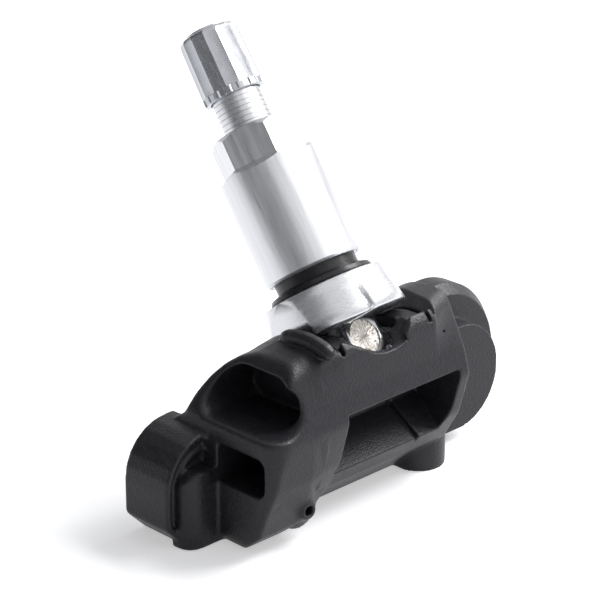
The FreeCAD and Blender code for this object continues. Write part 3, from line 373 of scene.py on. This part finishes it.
def bar_across(name, x, z, profile):
    """Round form along Y at an x and z; its profile is pairs of y and radius."""
    sides = 64
    turns = [2 * math.pi * side / sides for side in range(sides)]
    rings = []
    for y, radius in profile:
        rings.append([(x + radius * math.cos(turn), y, z + radius * math.sin(turn)) for turn in turns])
    return ring_solid(name, rings)


def tilt_band(name, left, right, low, high, front, back):
    """Band about the tilt line between two radii, from one angle in front of upright to another."""
    steps = 12
    foot = valve_foot / mm
    outer = []
    inner = []
    for step in range(steps + 1):
        angle = math.radians(front + (back - front) * step / steps)
        outer.append((foot.y - high * math.sin(angle), foot.z + high * math.cos(angle)))
        inner.append((foot.y - low * math.sin(angle), foot.z + low * math.cos(angle)))
    outline = outer + inner[::-1]
    return ring_solid(name, [[(x, *spot) for spot in outline] for x in (left, right)])


def combined(base, operation, *tools):
    """Base with other forms added, cut away or met with; the others are used up."""
    for tool in tools:
        step = base.modifiers.new("step", "BOOLEAN")
        step.operation = operation
        step.solver = "EXACT"
        step.object = tool
    baked(base)
    for tool in tools:
        bpy.data.objects.remove(tool)
    return base


# The left end, in millimetres, with X, Y and Z as in the frame. Its outline, which goes from the
# base over the front, the brow and the crest to the back, changes towards the crown's outline.

block_left = -25.6
front_y = -12.65
back_y = 11.0
outside = 40.0
form_change = (-17.0, -10.0)
end_joint = -14.3
foot_joint = -12.1
foot_top = 8.0
joint_lap = 0.2
nose_corners = [(-12.6, 18.2, 2.5), (-11.3, 22.2, 3.0)]
back_corners = [(6.6, 18.6, 1.0), (back_y, 15.2, 2.0), (back_y, 0, 1.0)]
left_form = arc_outline([(-5.0, 0, 1.0), (-9.3, 3.4, 1.2), (-11.6, 11.0, 6.0), *nose_corners,
                         (-9.6, 28.5, 3.4), (6.4, 28.5, 10.0), *back_corners])
crown_form = arc_outline([(-0.8, 0, 1.0), (-7.7, 6.1, 1.2), (-10.6, 11.0, 6.0), *nose_corners,
                          (-10.4, 29.9, 3.4), (3.2, 29.9, 9.0), *back_corners])
joint_share = (foot_joint - form_change[0]) / (form_change[1] - form_change[0])
joint_form = [start.lerp(end, joint_share) for start, end in zip(left_form, crown_form)]
left_rings = []
for x, form in ((block_left, left_form), (form_change[0], left_form), (foot_joint, joint_form)):
    left_rings.append([(x, *spot) for spot in form])
left_end = ring_solid("left_end", left_rings)
base_skim = 0.01
combined(left_end, "INTERSECT", pushed_along_y("end_side", [
    (block_left, -base_skim, 2.2), (form_change[1], -base_skim, 0), (form_change[1], 31.0, 0),
    (-18.2, 28.55, 5.0), (block_left, 19.0, 2.2)], -outside, outside))
combined(left_end, "INTERSECT", pushed_along_z("end_plan", [
    (block_left, front_y, 4.0), (form_change[1], front_y, 0), (form_change[1], back_y + base_skim, 0),
    (block_left, back_y + base_skim, 0)], -outside, outside))

# Tongue at the far left, with a lip along its edge, a bead inside that, and the web that carries it

tongue_left = -33.5
tongue_root = -23.7
tongue_top = 17.0
tongue_front = 2.4
tongue_corner = 8.0
slant_left = -29.9
slant_height = 3.6
slant_corner = 1.2
slant_share = 0.4
lip_height = 0.9
lip_width = 1.1
bead_height = 0.5
bead_inset = 2.2
bead_width = 0.7


def tongue_outline(name, inset, front, back):
    """Tongue's outline, drawn in by an inset."""
    return pushed_along_y(name, [
        (tongue_left + inset, slant_height + slant_share * inset, slant_corner),
        (slant_left + slant_share * inset, inset, slant_corner), (tongue_root, inset, 0),
        (tongue_root, tongue_top - inset, 0),
        (tongue_left + inset, tongue_top - inset, tongue_corner - inset)], front, back)


def tongue_ridge(name, inset, width, height):
    """Ridge that stands on the tongue's front along its edge."""
    ridge = tongue_outline(name, inset, tongue_front - height, tongue_front + joint_lap)
    inside = tongue_outline(name + "_inside", inset + width, 0.0, 2 * tongue_front)
    return combined(ridge, "DIFFERENCE", inside)


web_left = -31.4
web_right = -24.0
web_front = -0.8
web_back = 3.0
web_top = 12.2
web = pushed_along_z("web", [(web_left, web_front, 2.6), (web_right, web_front, 0), (web_right, web_back, 0),
                             (web_left, web_back, 0)], 0.0, web_top)
combined(web, "INTERSECT", pushed_along_y("web_side", [
    (web_left - 0.1, base_skim, 0), (web_right + 1, base_skim, 0), (web_right + 1, web_top, 0),
    (web_left - 0.1, web_top, 2.8)], web_front - 1, web_back + 1))
air_place = (-16.6, 5.4)
combined(left_end, "UNION", tongue_outline("tongue", 0.0, tongue_front, back_y - 2 * base_skim),
         tongue_ridge("lip", 0.0, lip_width, lip_height),
         tongue_ridge("bead", bead_inset, bead_width, bead_height), web,
         bar_across("air_boss", *air_place, [(-10.6, 1.3), (-9.4, 1.9), (-8.4, 3.6)]))

# Hollows of the left end: its mouth with the notch in the front wall, the side opening under it,
# the bay behind, the air hole and a dimple. The last two blocks cut it to fit the solid's middle.

hollow_left = -27.0
mouth_floor = 19.0
mouth_front = -10.7
mouth_back = 4.2
mouth_roof = 26.4
mouth_slant = 0.8
mouth_end = -13.9
mouth = pushed_along_x("mouth", [(mouth_front, mouth_floor, 2.4), (mouth_back, mouth_floor, 2.4),
                                 (mouth_back - mouth_slant, mouth_roof, 5.0),
                                 (mouth_front + mouth_slant, mouth_roof, 3.6)],
                       hollow_left, mouth_end)
notch_end = -18.8
notch_top = 26.3
notch_corner = 3.6
notch_back = -8.3
notch = pushed_along_y("notch", [(hollow_left, mouth_floor, 0), (notch_end, mouth_floor, notch_corner),
                                 (notch_end, notch_top, notch_corner), (hollow_left, notch_top, 0)],
                       -outside, notch_back)
port_front = -10.0
port_back = -0.6
port_low = 10.0
port_top = 15.9
port_end = -16.6
bay_low = (-23.6, 1.2, 2.0)
bay_high = (-11.0, outside, 13.6)
port = pushed_along_x("port", [(port_front, port_low, 1.4), (port_back, port_low, 0.3),
                               (port_back, port_top, 0.3), (port_front, port_top, 1.4)],
                      hollow_left, port_end)
combined(left_end, "DIFFERENCE", mouth, notch, port,
         block("bay", bay_low, bay_high),
         bar_across("air_hole", *air_place, [(-outside, 0.8), (-3.0, 0.8)]),
         bar_across("dimple", -23.4, 7.9, [(-13.0, 1.5), (-11.2, 1.2), (-10.7, 0.7)]),
         block("over_joint", (end_joint, -outside, foot_top), (0.0, outside, outside)),
         block("behind_joint", (end_joint, 0.0, -outside), (0.0, outside, foot_top + joint_lap / 2)))
post_x = -21.6
post_heights = (4.0, 11.6)
posts = [bar_across("post", post_x, height, [(0.8, 0.9), (4.9, 0.9)]) for height in post_heights]
ledge = block("ledge", (-10.8, -11.6, 18.65), (-3.2, -10.2, 19.7))
housing = combined(
    copy_of("housing", "moulded_housing"), "DIFFERENCE",
    block("old_end", (-outside, -outside, -outside), (end_joint - joint_lap, outside, outside)),
    block("old_foot", (end_joint - 2 * joint_lap, -outside, -outside),
          (foot_joint - joint_lap, -joint_lap, foot_top - joint_lap)))

# Skin in front of the flange, with the opening before the lug and the two curved slots. It keeps
# clear of the flange, so that the valve can tilt.

seat_half = 9.9
skin_low = 9.9
skin_high = 17.0
skin_front = 55.0
skin_back = 12.5
slot_half = 0.33
slot_places = (-9.5, 8.85)
slot_end = 21.5
brow = ring_solid("brow", [[(x, *spot) for spot in crown_form] for x in (-seat_half, seat_half)])
combined(brow, "INTERSECT", tilt_band("brow_space", -outside, outside, skin_low, skin_high, skin_front,
                                      skin_back))
combined(brow, "DIFFERENCE",
         pushed_along_y("opening", [(0.9, 24.7, 5.0), (7.3, 31.1, 0), (7.3, outside, 0), (-9.7, outside, 0),
                                    (-9.7, 29.8, 0)], -outside, 0.0),
         *[tilt_band("slot", x - slot_half, x + slot_half, skin_low - 2, skin_high + 1, slot_end, 0.0)
           for x in slot_places])

# The parts grow into one skin; then its edges are rounded, the left end's and the mouth's the most

housing_voxel = 0.2 * mm
housing_faces = 195000
edge_rounds = 5
end_rounds = 14
mouth_rounds = 80
slot_share = 0.2
slot_middle = 9.2 * mm
slot_near = 1.0 * mm
slot_reach = (9.5 * mm, 16.0 * mm)
end_from = -14.0 * mm
end_full = -17.0 * mm
mouth_path = [Vector(spot) * mm for spot in (
    (-25.6, -11.5, 19.4), (-25.6, -6.0, 19.0), (-25.6, 0.0, 19.0), (-25.4, 4.2, 19.6),
    (-24.0, 4.3, 22.0), (-21.8, 3.6, 24.8), (-20.2, 1.4, 26.8), (-20.0, -2.5, 27.0),
    (-20.0, -6.5, 26.8), (-19.6, -9.4, 25.8), (-18.8, -11.2, 24.0), (-18.8, -12.0, 22.0),
    (-20.2, -12.4, 20.2), (-23.0, -12.4, 19.2), (-25.6, -11.5, 19.4))]
shells = bmesh.new()
for form in (housing, left_end, brow, ledge, *posts):
    shells.from_mesh(form.data)
for form in (left_end, brow, ledge, *posts):
    bpy.data.objects.remove(form)
shells.to_mesh(housing.data)
shells.free()
remesh = housing.modifiers.new("skin", "REMESH")
remesh.mode = "VOXEL"
remesh.voxel_size = housing_voxel
remesh.use_smooth_shade = True
baked(housing)
spots = places_of(housing)
from_tilt_line = numpy.hypot(spots[:, 1] - valve_foot.y, spots[:, 2] - valve_foot.z)
beside_slot = ((numpy.abs(numpy.abs(spots[:, 0]) - slot_middle) < slot_near)
               & (from_tilt_line > slot_reach[0]) & (from_tilt_line < slot_reach[1])
               & (spots[:, 2] > valve_foot.z))
softened(housing, edge_rounds, numpy.where(beside_slot, slot_share, 1.0))
softened(housing, end_rounds, (end_from - places_of(housing)[:, 0]) / (end_from - end_full))
softened(housing, mouth_rounds, near_path(housing, mouth_path, reach=4.4 * mm, full=2.4 * mm))
thin = housing.modifiers.new("thin_out", "DECIMATE")
thin.ratio = min(1.0, housing_faces / (2 * len(housing.data.polygons)))
baked(housing)
housing.data.shade_smooth()
housing_plastic = grained_plastic("housing_plastic", (0.008, 0.008, 0.011), (0.017, 0.017, 0.021),
                                  0.3 * mm, 0.09 * mm, 0.42)
finish(housing, "housing", "housing_plastic", housing_plastic, "housing")

# Circuit board and what is soldered to it: green laminate, black and brown chips, a wound coil,
# a tinned antenna strip. All of it lies in the closed bay.


def dress(node_name, material):
    """Gives a node that keeps its own shape its finished material."""
    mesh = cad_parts[node_name].data
    mesh.materials.clear()
    mesh.materials.append(material)


def streaked_metal(name, colour, roughness, streaks, stretch, depth, place_matrix=None, metal=1.0):
    """Metal with fine streaks: stretch gives their size along local X, Y and Z."""
    material, output = new_material(name)
    tree = material.node_tree
    place = tree.nodes.new("ShaderNodeTexCoord")
    along = tree.nodes.new("ShaderNodeMapping")
    if place_matrix is not None:
        inverse = place_matrix.inverted()
        along.inputs["Location"].default_value = inverse.to_translation()
        along.inputs["Rotation"].default_value = inverse.to_euler()
    spread = add_node(tree, "ShaderNodeMapping", {"Scale": stretch})
    streak = add_node(tree, "ShaderNodeTexNoise", {"Scale": streaks, "Detail": 4.0,
                                                   "Roughness": 0.62})
    fine = add_node(tree, "ShaderNodeTexNoise", {"Scale": streaks * 3.1, "Detail": 2.0})
    tone = add_node(tree, "ShaderNodeMapRange", {"From Min": 0.3, "From Max": 0.7, "To Min": 0.86,
                                                 "To Max": 1.06})
    paint = tree.nodes.new("ShaderNodeMix")
    paint.data_type = "RGBA"
    paint.blend_type = "MULTIPLY"
    paint.inputs[0].default_value = 1.0
    paint.inputs[6].default_value = (*colour, 1.0)
    gloss = add_node(tree, "ShaderNodeMapRange", {"From Min": 0.3, "From Max": 0.7,
                                                  "To Min": roughness - 0.06,
                                                  "To Max": roughness + 0.08})
    bump = add_node(tree, "ShaderNodeBump", {"Strength": 1.0, "Distance": depth})
    skin = add_node(tree, "ShaderNodeBsdfPrincipled", {"Metallic": metal})
    tree.links.new(place.outputs["Object"], along.inputs["Vector"])
    tree.links.new(along.outputs[0], spread.inputs["Vector"])
    for texture in (streak, fine):
        tree.links.new(spread.outputs[0], texture.inputs["Vector"])
    tree.links.new(streak.outputs["Fac"], tone.inputs["Value"])
    tree.links.new(tone.outputs["Result"], paint.inputs[7])
    tree.links.new(paint.outputs[2], skin.inputs["Base Color"])
    tree.links.new(streak.outputs["Fac"], gloss.inputs["Value"])
    tree.links.new(gloss.outputs["Result"], skin.inputs["Roughness"])
    tree.links.new(fine.outputs["Fac"], bump.inputs["Height"])
    tree.links.new(bump.outputs["Normal"], skin.inputs["Normal"])
    tree.links.new(skin.outputs[0], output.inputs["Surface"])
    return material


dress("circuit_board", grained_plastic("board_laminate", (0.02, 0.14, 0.06), (0.03, 0.2, 0.09), 0.3 * mm,
                                       0.01 * mm, 0.4))
dress("sensor_chip", grained_plastic("chip_resin", (0.02, 0.02, 0.022), (0.035, 0.035, 0.038), 0.1 * mm,
                                     0.01 * mm, 0.5))
dress("port_gasket", grained_plastic("gasket_silicone", (0.5, 0.5, 0.47), (0.58, 0.58, 0.55), 0.4 * mm,
                                     0.01 * mm, 0.45))
dress("lf_coil", streaked_metal("coil_copper", (0.72, 0.36, 0.16), 0.35, 4000, (4.0, 0.3, 0.3), 0.02 * mm))
dress("crystal", streaked_metal("crystal_can", (0.75, 0.75, 0.76), 0.3, 2000, (1.0, 1.0, 1.0), 0.003 * mm))
dress("chip_capacitors", grained_plastic("capacitor_ceramic", (0.42, 0.3, 0.18), (0.52, 0.4, 0.26),
                                         0.12 * mm, 0.006 * mm, 0.4))
dress("antenna_loop", streaked_metal("antenna_steel", (0.75, 0.73, 0.66), 0.3, 2500, (0.2, 1.0, 1.0),
                                     0.003 * mm))

# Coin cell with its two welded steel tabs, and the black compound that is poured over the bay and
# over the cell's pocket from behind.

cell_steel = streaked_metal("cell_steel", (0.75, 0.76, 0.78), 0.25, 2500, (0.3, 1.0, 1.0), 0.003 * mm)
dress("battery_cell", cell_steel)
tab_steel = streaked_metal("tab_steel", (0.7, 0.7, 0.72), 0.3, 2500, (0.2, 1.0, 1.0), 0.003 * mm)
dress("battery_tab_rear", tab_steel)
dress("battery_tab_front", tab_steel)
compound = grained_plastic("sealing_compound", (0.035, 0.035, 0.037), (0.05, 0.05, 0.053), 1.6 * mm,
                           0.05 * mm, 0.35)
dress("bay_seal", compound)
dress("cell_seal", compound)

# Clamp foot: bent from thick steel strip. Its wings lie against the arch from inside, and show in
# the two curved slots. It leans with the valve, as all that follows.

valve_lean = math.radians(36.0)
on_valve = Matrix.Translation(valve_foot) @ Matrix.Rotation(-valve_lean, 4, "X")
foot_steel = streaked_metal("foot_steel", (0.8, 0.8, 0.82), 0.28, 2600, (0.25, 1.0, 1.0), 0.004 * mm,
                            on_valve)
dress("clamp_foot", foot_steel)

# Valve stem: turned from aluminium bar, with a cone, a lug and the valve thread, which is a ridge
# that winds round the bare stem. The flats and the lug are milled.

stem_aluminium = streaked_metal("stem_aluminium", (0.62, 0.63, 0.65), 0.3, 1500, (1.0, 1.0, 6.0),
                                0.006 * mm, on_valve)
thread_major = 3.95 * mm
thread_minor = 3.47 * mm
thread_pitch = 0.794 * mm
thread_start = 17.4 * mm
thread_end = 57.3 * mm
thread_sides = 48
thread_slack = 0.2 * mm
thread_nearness = 0.02 * mm
ridge_width = 0.42 * mm
ridge_height = 0.27 * mm


def smooth(piece, angle):
    """Shades smooth, apart from edges sharper than an angle."""
    piece.data.shade_smooth()
    piece.data.set_sharp_from_angle(angle=angle)


def geometry_tree(name, inputs):
    """Geometry node tree with one output and named inputs."""
    tree = bpy.data.node_groups.new(name, "GeometryNodeTree")
    tree.interface.new_socket("Geometry", in_out="OUTPUT", socket_type="NodeSocketGeometry")
    for label, kind, value in inputs:
        socket = tree.interface.new_socket(label, in_out="INPUT", socket_type=kind)
        socket.default_value = value
    return tree, tree.nodes.new("NodeGroupInput"), tree.nodes.new("NodeGroupOutput")


def grown(name, tree, material):
    """Plain mesh object from a geometry node tree that needs no mesh to start from."""
    piece = bpy.data.objects.new(name, bpy.data.meshes.new(name))
    scene.collection.objects.link(piece)
    growing = piece.modifiers.new("growing", "NODES")
    growing.node_group = tree
    baked(piece)
    piece.data.materials.clear()
    piece.data.materials.append(material)
    return piece


def helix_tree(name, material, radius, pitch, height, sides, width, rise):
    """Ridge with a triangular section that winds round Z."""
    tree, given, result = geometry_tree(name, [
        ("Radius", "NodeSocketFloat", radius), ("Turns", "NodeSocketFloat", height / pitch),
        ("Height", "NodeSocketFloat", height), ("Ridge width", "NodeSocketFloat", width),
        ("Ridge height", "NodeSocketFloat", rise)])
    spiral = add_node(tree, "GeometryNodeCurveSpiral", {"Resolution": sides})
    for label, socket in (("Radius", "Start Radius"), ("Radius", "End Radius"), ("Turns", "Rotations"),
                          ("Height", "Height")):
        tree.links.new(given.outputs[label], spiral.inputs[socket])
    upright = add_node(tree, "GeometryNodeSetCurveNormal", mode="Z_UP")
    section = add_node(tree, "GeometryNodeCurvePrimitiveCircle", {"Resolution": 3, "Radius": 1.0})
    shape = tree.nodes.new("GeometryNodeTransform")
    size = add_node(tree, "ShaderNodeCombineXYZ", {"Z": 1.0})
    sweep = add_node(tree, "GeometryNodeCurveToMesh", {"Fill Caps": True})
    paint = add_node(tree, "GeometryNodeSetMaterial", {"Material": material})
    tree.links.new(spiral.outputs["Curve"], upright.inputs["Curve"])
    tree.links.new(upright.outputs["Curve"], sweep.inputs["Curve"])
    tree.links.new(given.outputs["Ridge width"], size.inputs["Y"])
    tree.links.new(given.outputs["Ridge height"], size.inputs["X"])
    tree.links.new(size.outputs[0], shape.inputs["Scale"])
    tree.links.new(section.outputs["Curve"], shape.inputs["Geometry"])
    tree.links.new(shape.outputs["Geometry"], sweep.inputs["Profile Curve"])
    tree.links.new(sweep.outputs["Mesh"], paint.inputs["Geometry"])
    tree.links.new(paint.outputs["Geometry"], result.inputs["Geometry"])
    return tree


def joined(name, pieces):
    """One object from several."""
    whole = bmesh.new()
    for piece in pieces:
        mesh = piece.data.copy()
        mesh.transform(piece.matrix_world)
        whole.from_mesh(mesh)
        bpy.data.meshes.remove(mesh)
        bpy.data.objects.remove(piece)
    mesh = bpy.data.meshes.new(name)
    whole.to_mesh(mesh)
    whole.free()
    result = bpy.data.objects.new(name, mesh)
    scene.collection.objects.link(result)
    return result


stem = copy_of("valve_stem", "stem_blank")
to_valve = on_valve.inverted()
for vertex in stem.data.vertices:
    spot = to_valve @ vertex.co
    reach = math.hypot(spot.x, spot.y)
    if spot.z > thread_start - thread_slack and abs(reach - thread_major) < thread_nearness:
        shrink = thread_minor / reach
        vertex.co = on_valve @ Vector((spot.x * shrink, spot.y * shrink, spot.z))
ridge_tree = helix_tree("thread", stem_aluminium, (thread_minor + thread_major) / 2, thread_pitch,
                        thread_end - thread_start, thread_sides, ridge_width, ridge_height)
thread = grown("thread_ridge", ridge_tree, stem_aluminium)
thread.data.transform(on_valve @ Matrix.Translation((0, 0, thread_start)))
stem = joined("threaded_stem", [stem, thread])
smooth(stem, math.radians(40))
finish(stem, "valve", "stem_aluminium", stem_aluminium, "valve_stem")

# Fastening screw: steel, driven from behind through the clamp foot into the lug. Its free end fills
# the lug's front and is rough, with marks that run out from its middle.

screw_face = -3.95 * mm
screw_height = 7.7 * mm


def marked_disc_metal(name, centre):
    """Bright metal with short strokes that run out from a centre."""
    material, output = new_material(name)
    tree = material.node_tree
    place = tree.nodes.new("ShaderNodeTexCoord")
    along = tree.nodes.new("ShaderNodeMapping")
    inverse = (on_valve @ Matrix.Translation(centre)).inverted()
    along.inputs["Location"].default_value = inverse.to_translation()
    along.inputs["Rotation"].default_value = inverse.to_euler()
    parts = tree.nodes.new("ShaderNodeSeparateXYZ")
    angle = add_node(tree, "ShaderNodeMath", operation="ARCTAN2")
    far = add_node(tree, "ShaderNodeVectorMath", operation="LENGTH")
    polar = tree.nodes.new("ShaderNodeCombineXYZ")
    strokes = add_node(tree, "ShaderNodeTexNoise", {"Scale": 1.0, "Detail": 3.0, "Roughness": 0.7})
    spread = add_node(tree, "ShaderNodeMapping", {"Scale": (7.0, 1.3 / mm, 1.0)})
    ramp = tree.nodes.new("ShaderNodeValToRGB")
    ramp.color_ramp.elements[0].position = 0.36
    ramp.color_ramp.elements[0].color = (0.22, 0.19, 0.16, 1.0)
    ramp.color_ramp.elements[1].position = 0.6
    ramp.color_ramp.elements[1].color = (0.74, 0.71, 0.67, 1.0)
    bump = add_node(tree, "ShaderNodeBump", {"Strength": 1.0, "Distance": 0.12 * mm})
    skin = add_node(tree, "ShaderNodeBsdfPrincipled", {"Metallic": 0.75, "Roughness": 0.36})
    tree.links.new(place.outputs["Object"], along.inputs["Vector"])
    tree.links.new(along.outputs[0], parts.inputs[0])
    tree.links.new(along.outputs[0], far.inputs[0])
    tree.links.new(parts.outputs["X"], angle.inputs[0])
    tree.links.new(parts.outputs["Z"], angle.inputs[1])
    tree.links.new(angle.outputs[0], polar.inputs["X"])
    tree.links.new(far.outputs["Value"], polar.inputs["Y"])
    tree.links.new(polar.outputs[0], spread.inputs["Vector"])
    tree.links.new(spread.outputs[0], strokes.inputs["Vector"])
    tree.links.new(strokes.outputs["Fac"], ramp.inputs[0])
    tree.links.new(ramp.outputs[0], skin.inputs["Base Color"])
    tree.links.new(strokes.outputs["Fac"], bump.inputs["Height"])
    tree.links.new(bump.outputs["Normal"], skin.inputs["Normal"])
    tree.links.new(skin.outputs[0], output.inputs["Surface"])
    return material


screw_steel = marked_disc_metal("screw_steel", Vector((0, screw_face, screw_height)))
dress("fastening_screw", screw_steel)

# Rim seal: moulded sleeve of black rubber with a lip. It is pressed on the stem between the cone
# and the nut, and closes the hole in the rim.

seal_rubber = grained_plastic("seal_rubber", (0.012, 0.012, 0.014), (0.018, 0.018, 0.02), 0.5 * mm,
                              0.01 * mm, 0.3)
dress("rim_seal", seal_rubber)

# Washer and collar nut: a steel washer, and above it a nut turned from hexagonal aluminium bar and
# brushed lengthwise. The nut runs on the valve thread and bears on the washer.

dress("nut_washer", streaked_metal("washer_steel", (0.7, 0.71, 0.73), 0.3, 2500, (1.0, 1.0, 1.0),
                                   0.003 * mm, on_valve))
nut_aluminium = streaked_metal("nut_aluminium", (0.64, 0.65, 0.67), 0.33, 1100, (1.0, 1.0, 0.07),
                               0.008 * mm, on_valve)
dress("collar_nut", nut_aluminium)

# Valve core: brass sleeve and pin, red rubber ring, steel spring. All of it sits in the well in
# the stem's upper end, under the dust cap.

core_brass = streaked_metal("core_brass", (0.78, 0.58, 0.24), 0.28, 3000, (1.0, 1.0, 4.0),
                            0.003 * mm, on_valve)
dress("core_sleeve", core_brass)
dress("core_pin", streaked_metal("pin_brass", (0.8, 0.62, 0.28), 0.25, 3000, (1.0, 1.0, 4.0),
                                 0.003 * mm, on_valve))
dress("core_ring", grained_plastic("ring_rubber", (0.3, 0.03, 0.02), (0.4, 0.05, 0.04), 0.3 * mm,
                                   0.01 * mm, 0.45))
dress("core_spring", streaked_metal("spring_steel", (0.62, 0.62, 0.64), 0.25, 3000, (1.0, 1.0, 1.0),
                                    0.002 * mm))

# Dust cap: moulded plastic, plated bright, with shallow flutes, a notched foot and a small plateau
# on top. It screws on the stem's end, and holds a disc of black rubber.

cap_bottom = 49.0 * mm
cap_length = 11.0 * mm
cap_foot_radius = 4.85 * mm
cap_head_radius = 4.65 * mm
cap_inside = 4.05 * mm
cap_roof = 1.1 * mm
foot_edge = 0.12 * mm
foot_height = 1.1 * mm
foot_notch_depth = 0.22 * mm
flute_count = 14
flute_steps = 10
flute_depth = 0.2 * mm
flute_margin = 1.3 * mm
flute_rings = 8
shoulder = 1.0 * mm
shoulder_steps = 6
plateau_rise = 0.35 * mm
plateau_radius = 3.1 * mm
plateau_middle = 1.2 * mm
cap_turn = math.radians(-138.7)
cap_plastic = streaked_metal("cap_plastic", (0.45, 0.46, 0.49), 0.26, 1600, (1.0, 1.0, 0.3),
                             0.004 * mm, on_valve, metal=0.9)


def cap_rings():
    """Rings over the outside and down the bore: height, radius, share of flutes, share of notches."""
    rings = [
        (0.0, cap_inside, 0.0, 0.0),
        (0.0, cap_foot_radius - foot_edge, 0.0, 1.0),
        (foot_edge, cap_foot_radius, 0.0, 1.0),
        (foot_height, cap_foot_radius, 0.0, 1.0),
        (foot_height + 0.02 * mm, cap_foot_radius - 0.02 * mm, 0.8, 0.0),
        (flute_margin, cap_foot_radius - 0.03 * mm, 1.0, 0.0),
    ]
    for step in range(1, flute_rings):
        share = step / flute_rings
        height = flute_margin + share * (cap_length - 2 * flute_margin)
        rings.append((height, cap_foot_radius + share * (cap_head_radius - cap_foot_radius), 1.0, 0.0))
    for step in range(shoulder_steps + 1):
        share = step / shoulder_steps
        turn = math.radians(90 * share)
        rings.append((cap_length - plateau_rise - shoulder * (1 - math.sin(turn)),
                      cap_head_radius - shoulder * (1 - math.cos(turn)), 1.0 - share, 0.0))
    rings += [
        (cap_length - plateau_rise, plateau_radius + 0.2 * mm, 0.0, 0.0),
        (cap_length - 0.05 * mm, plateau_radius + 0.1 * mm, 0.0, 0.0),
        (cap_length, plateau_radius, 0.0, 0.0),
        (cap_length, plateau_middle, 0.0, 0.0),
        (cap_length, None, 0.0, 0.0),
        (cap_length - cap_roof, None, 0.0, 0.0),
        (cap_length - cap_roof, cap_inside, 0.0, 0.0),
        (0.0, cap_inside, 0.0, 0.0),
    ]
    return rings


def cap_mesh(rings):
    """Closed skin through rings of points; a ring without a radius is one point on the axis."""
    count = flute_count * flute_steps
    shell = bmesh.new()
    last = None
    for height, radius, fluted, notched in rings:
        if radius is None:
            ring = [shell.verts.new((0, 0, cap_bottom + height))]
        else:
            ring = []
            for index in range(count):
                across = (index % flute_steps) / flute_steps
                dip = flute_depth * fluted * 4 * across * (1 - across)
                if notched and 0.25 < across < 0.75:
                    dip = foot_notch_depth * notched
                angle = cap_turn + 2 * math.pi * index / count
                reach = radius - dip
                ring.append(shell.verts.new((reach * math.cos(angle), reach * math.sin(angle),
                                             cap_bottom + height)))
        if last is not None and not (len(last) == 1 and len(ring) == 1):
            for index in range(count):
                after = (index + 1) % count
                if len(last) == 1:
                    shell.faces.new((last[0], ring[index], ring[after]))
                elif len(ring) == 1:
                    shell.faces.new((last[index], last[after], ring[0]))
                else:
                    shell.faces.new((last[index], last[after], ring[after], ring[index]))
        last = ring
    bmesh.ops.remove_doubles(shell, verts=shell.verts, dist=0.001 * mm)
    bmesh.ops.recalc_face_normals(shell, faces=shell.faces)
    mesh = bpy.data.meshes.new("fluted_cap")
    shell.to_mesh(mesh)
    shell.free()
    mesh.transform(on_valve)
    return mesh


cap = bpy.data.objects.new("fluted_cap", cap_mesh(cap_rings()))
scene.collection.objects.link(cap)
smooth(cap, math.radians(32))
finish(cap, "cap", "cap_plastic", cap_plastic, "dust_cap")
dress("cap_seal", grained_plastic("cap_rubber", (0.02, 0.02, 0.02), (0.03, 0.03, 0.03), 0.4 * mm,
                                  0.01 * mm, 0.4))

# Last: the view layer is brought up to date

bpy.context.view_layer.update()
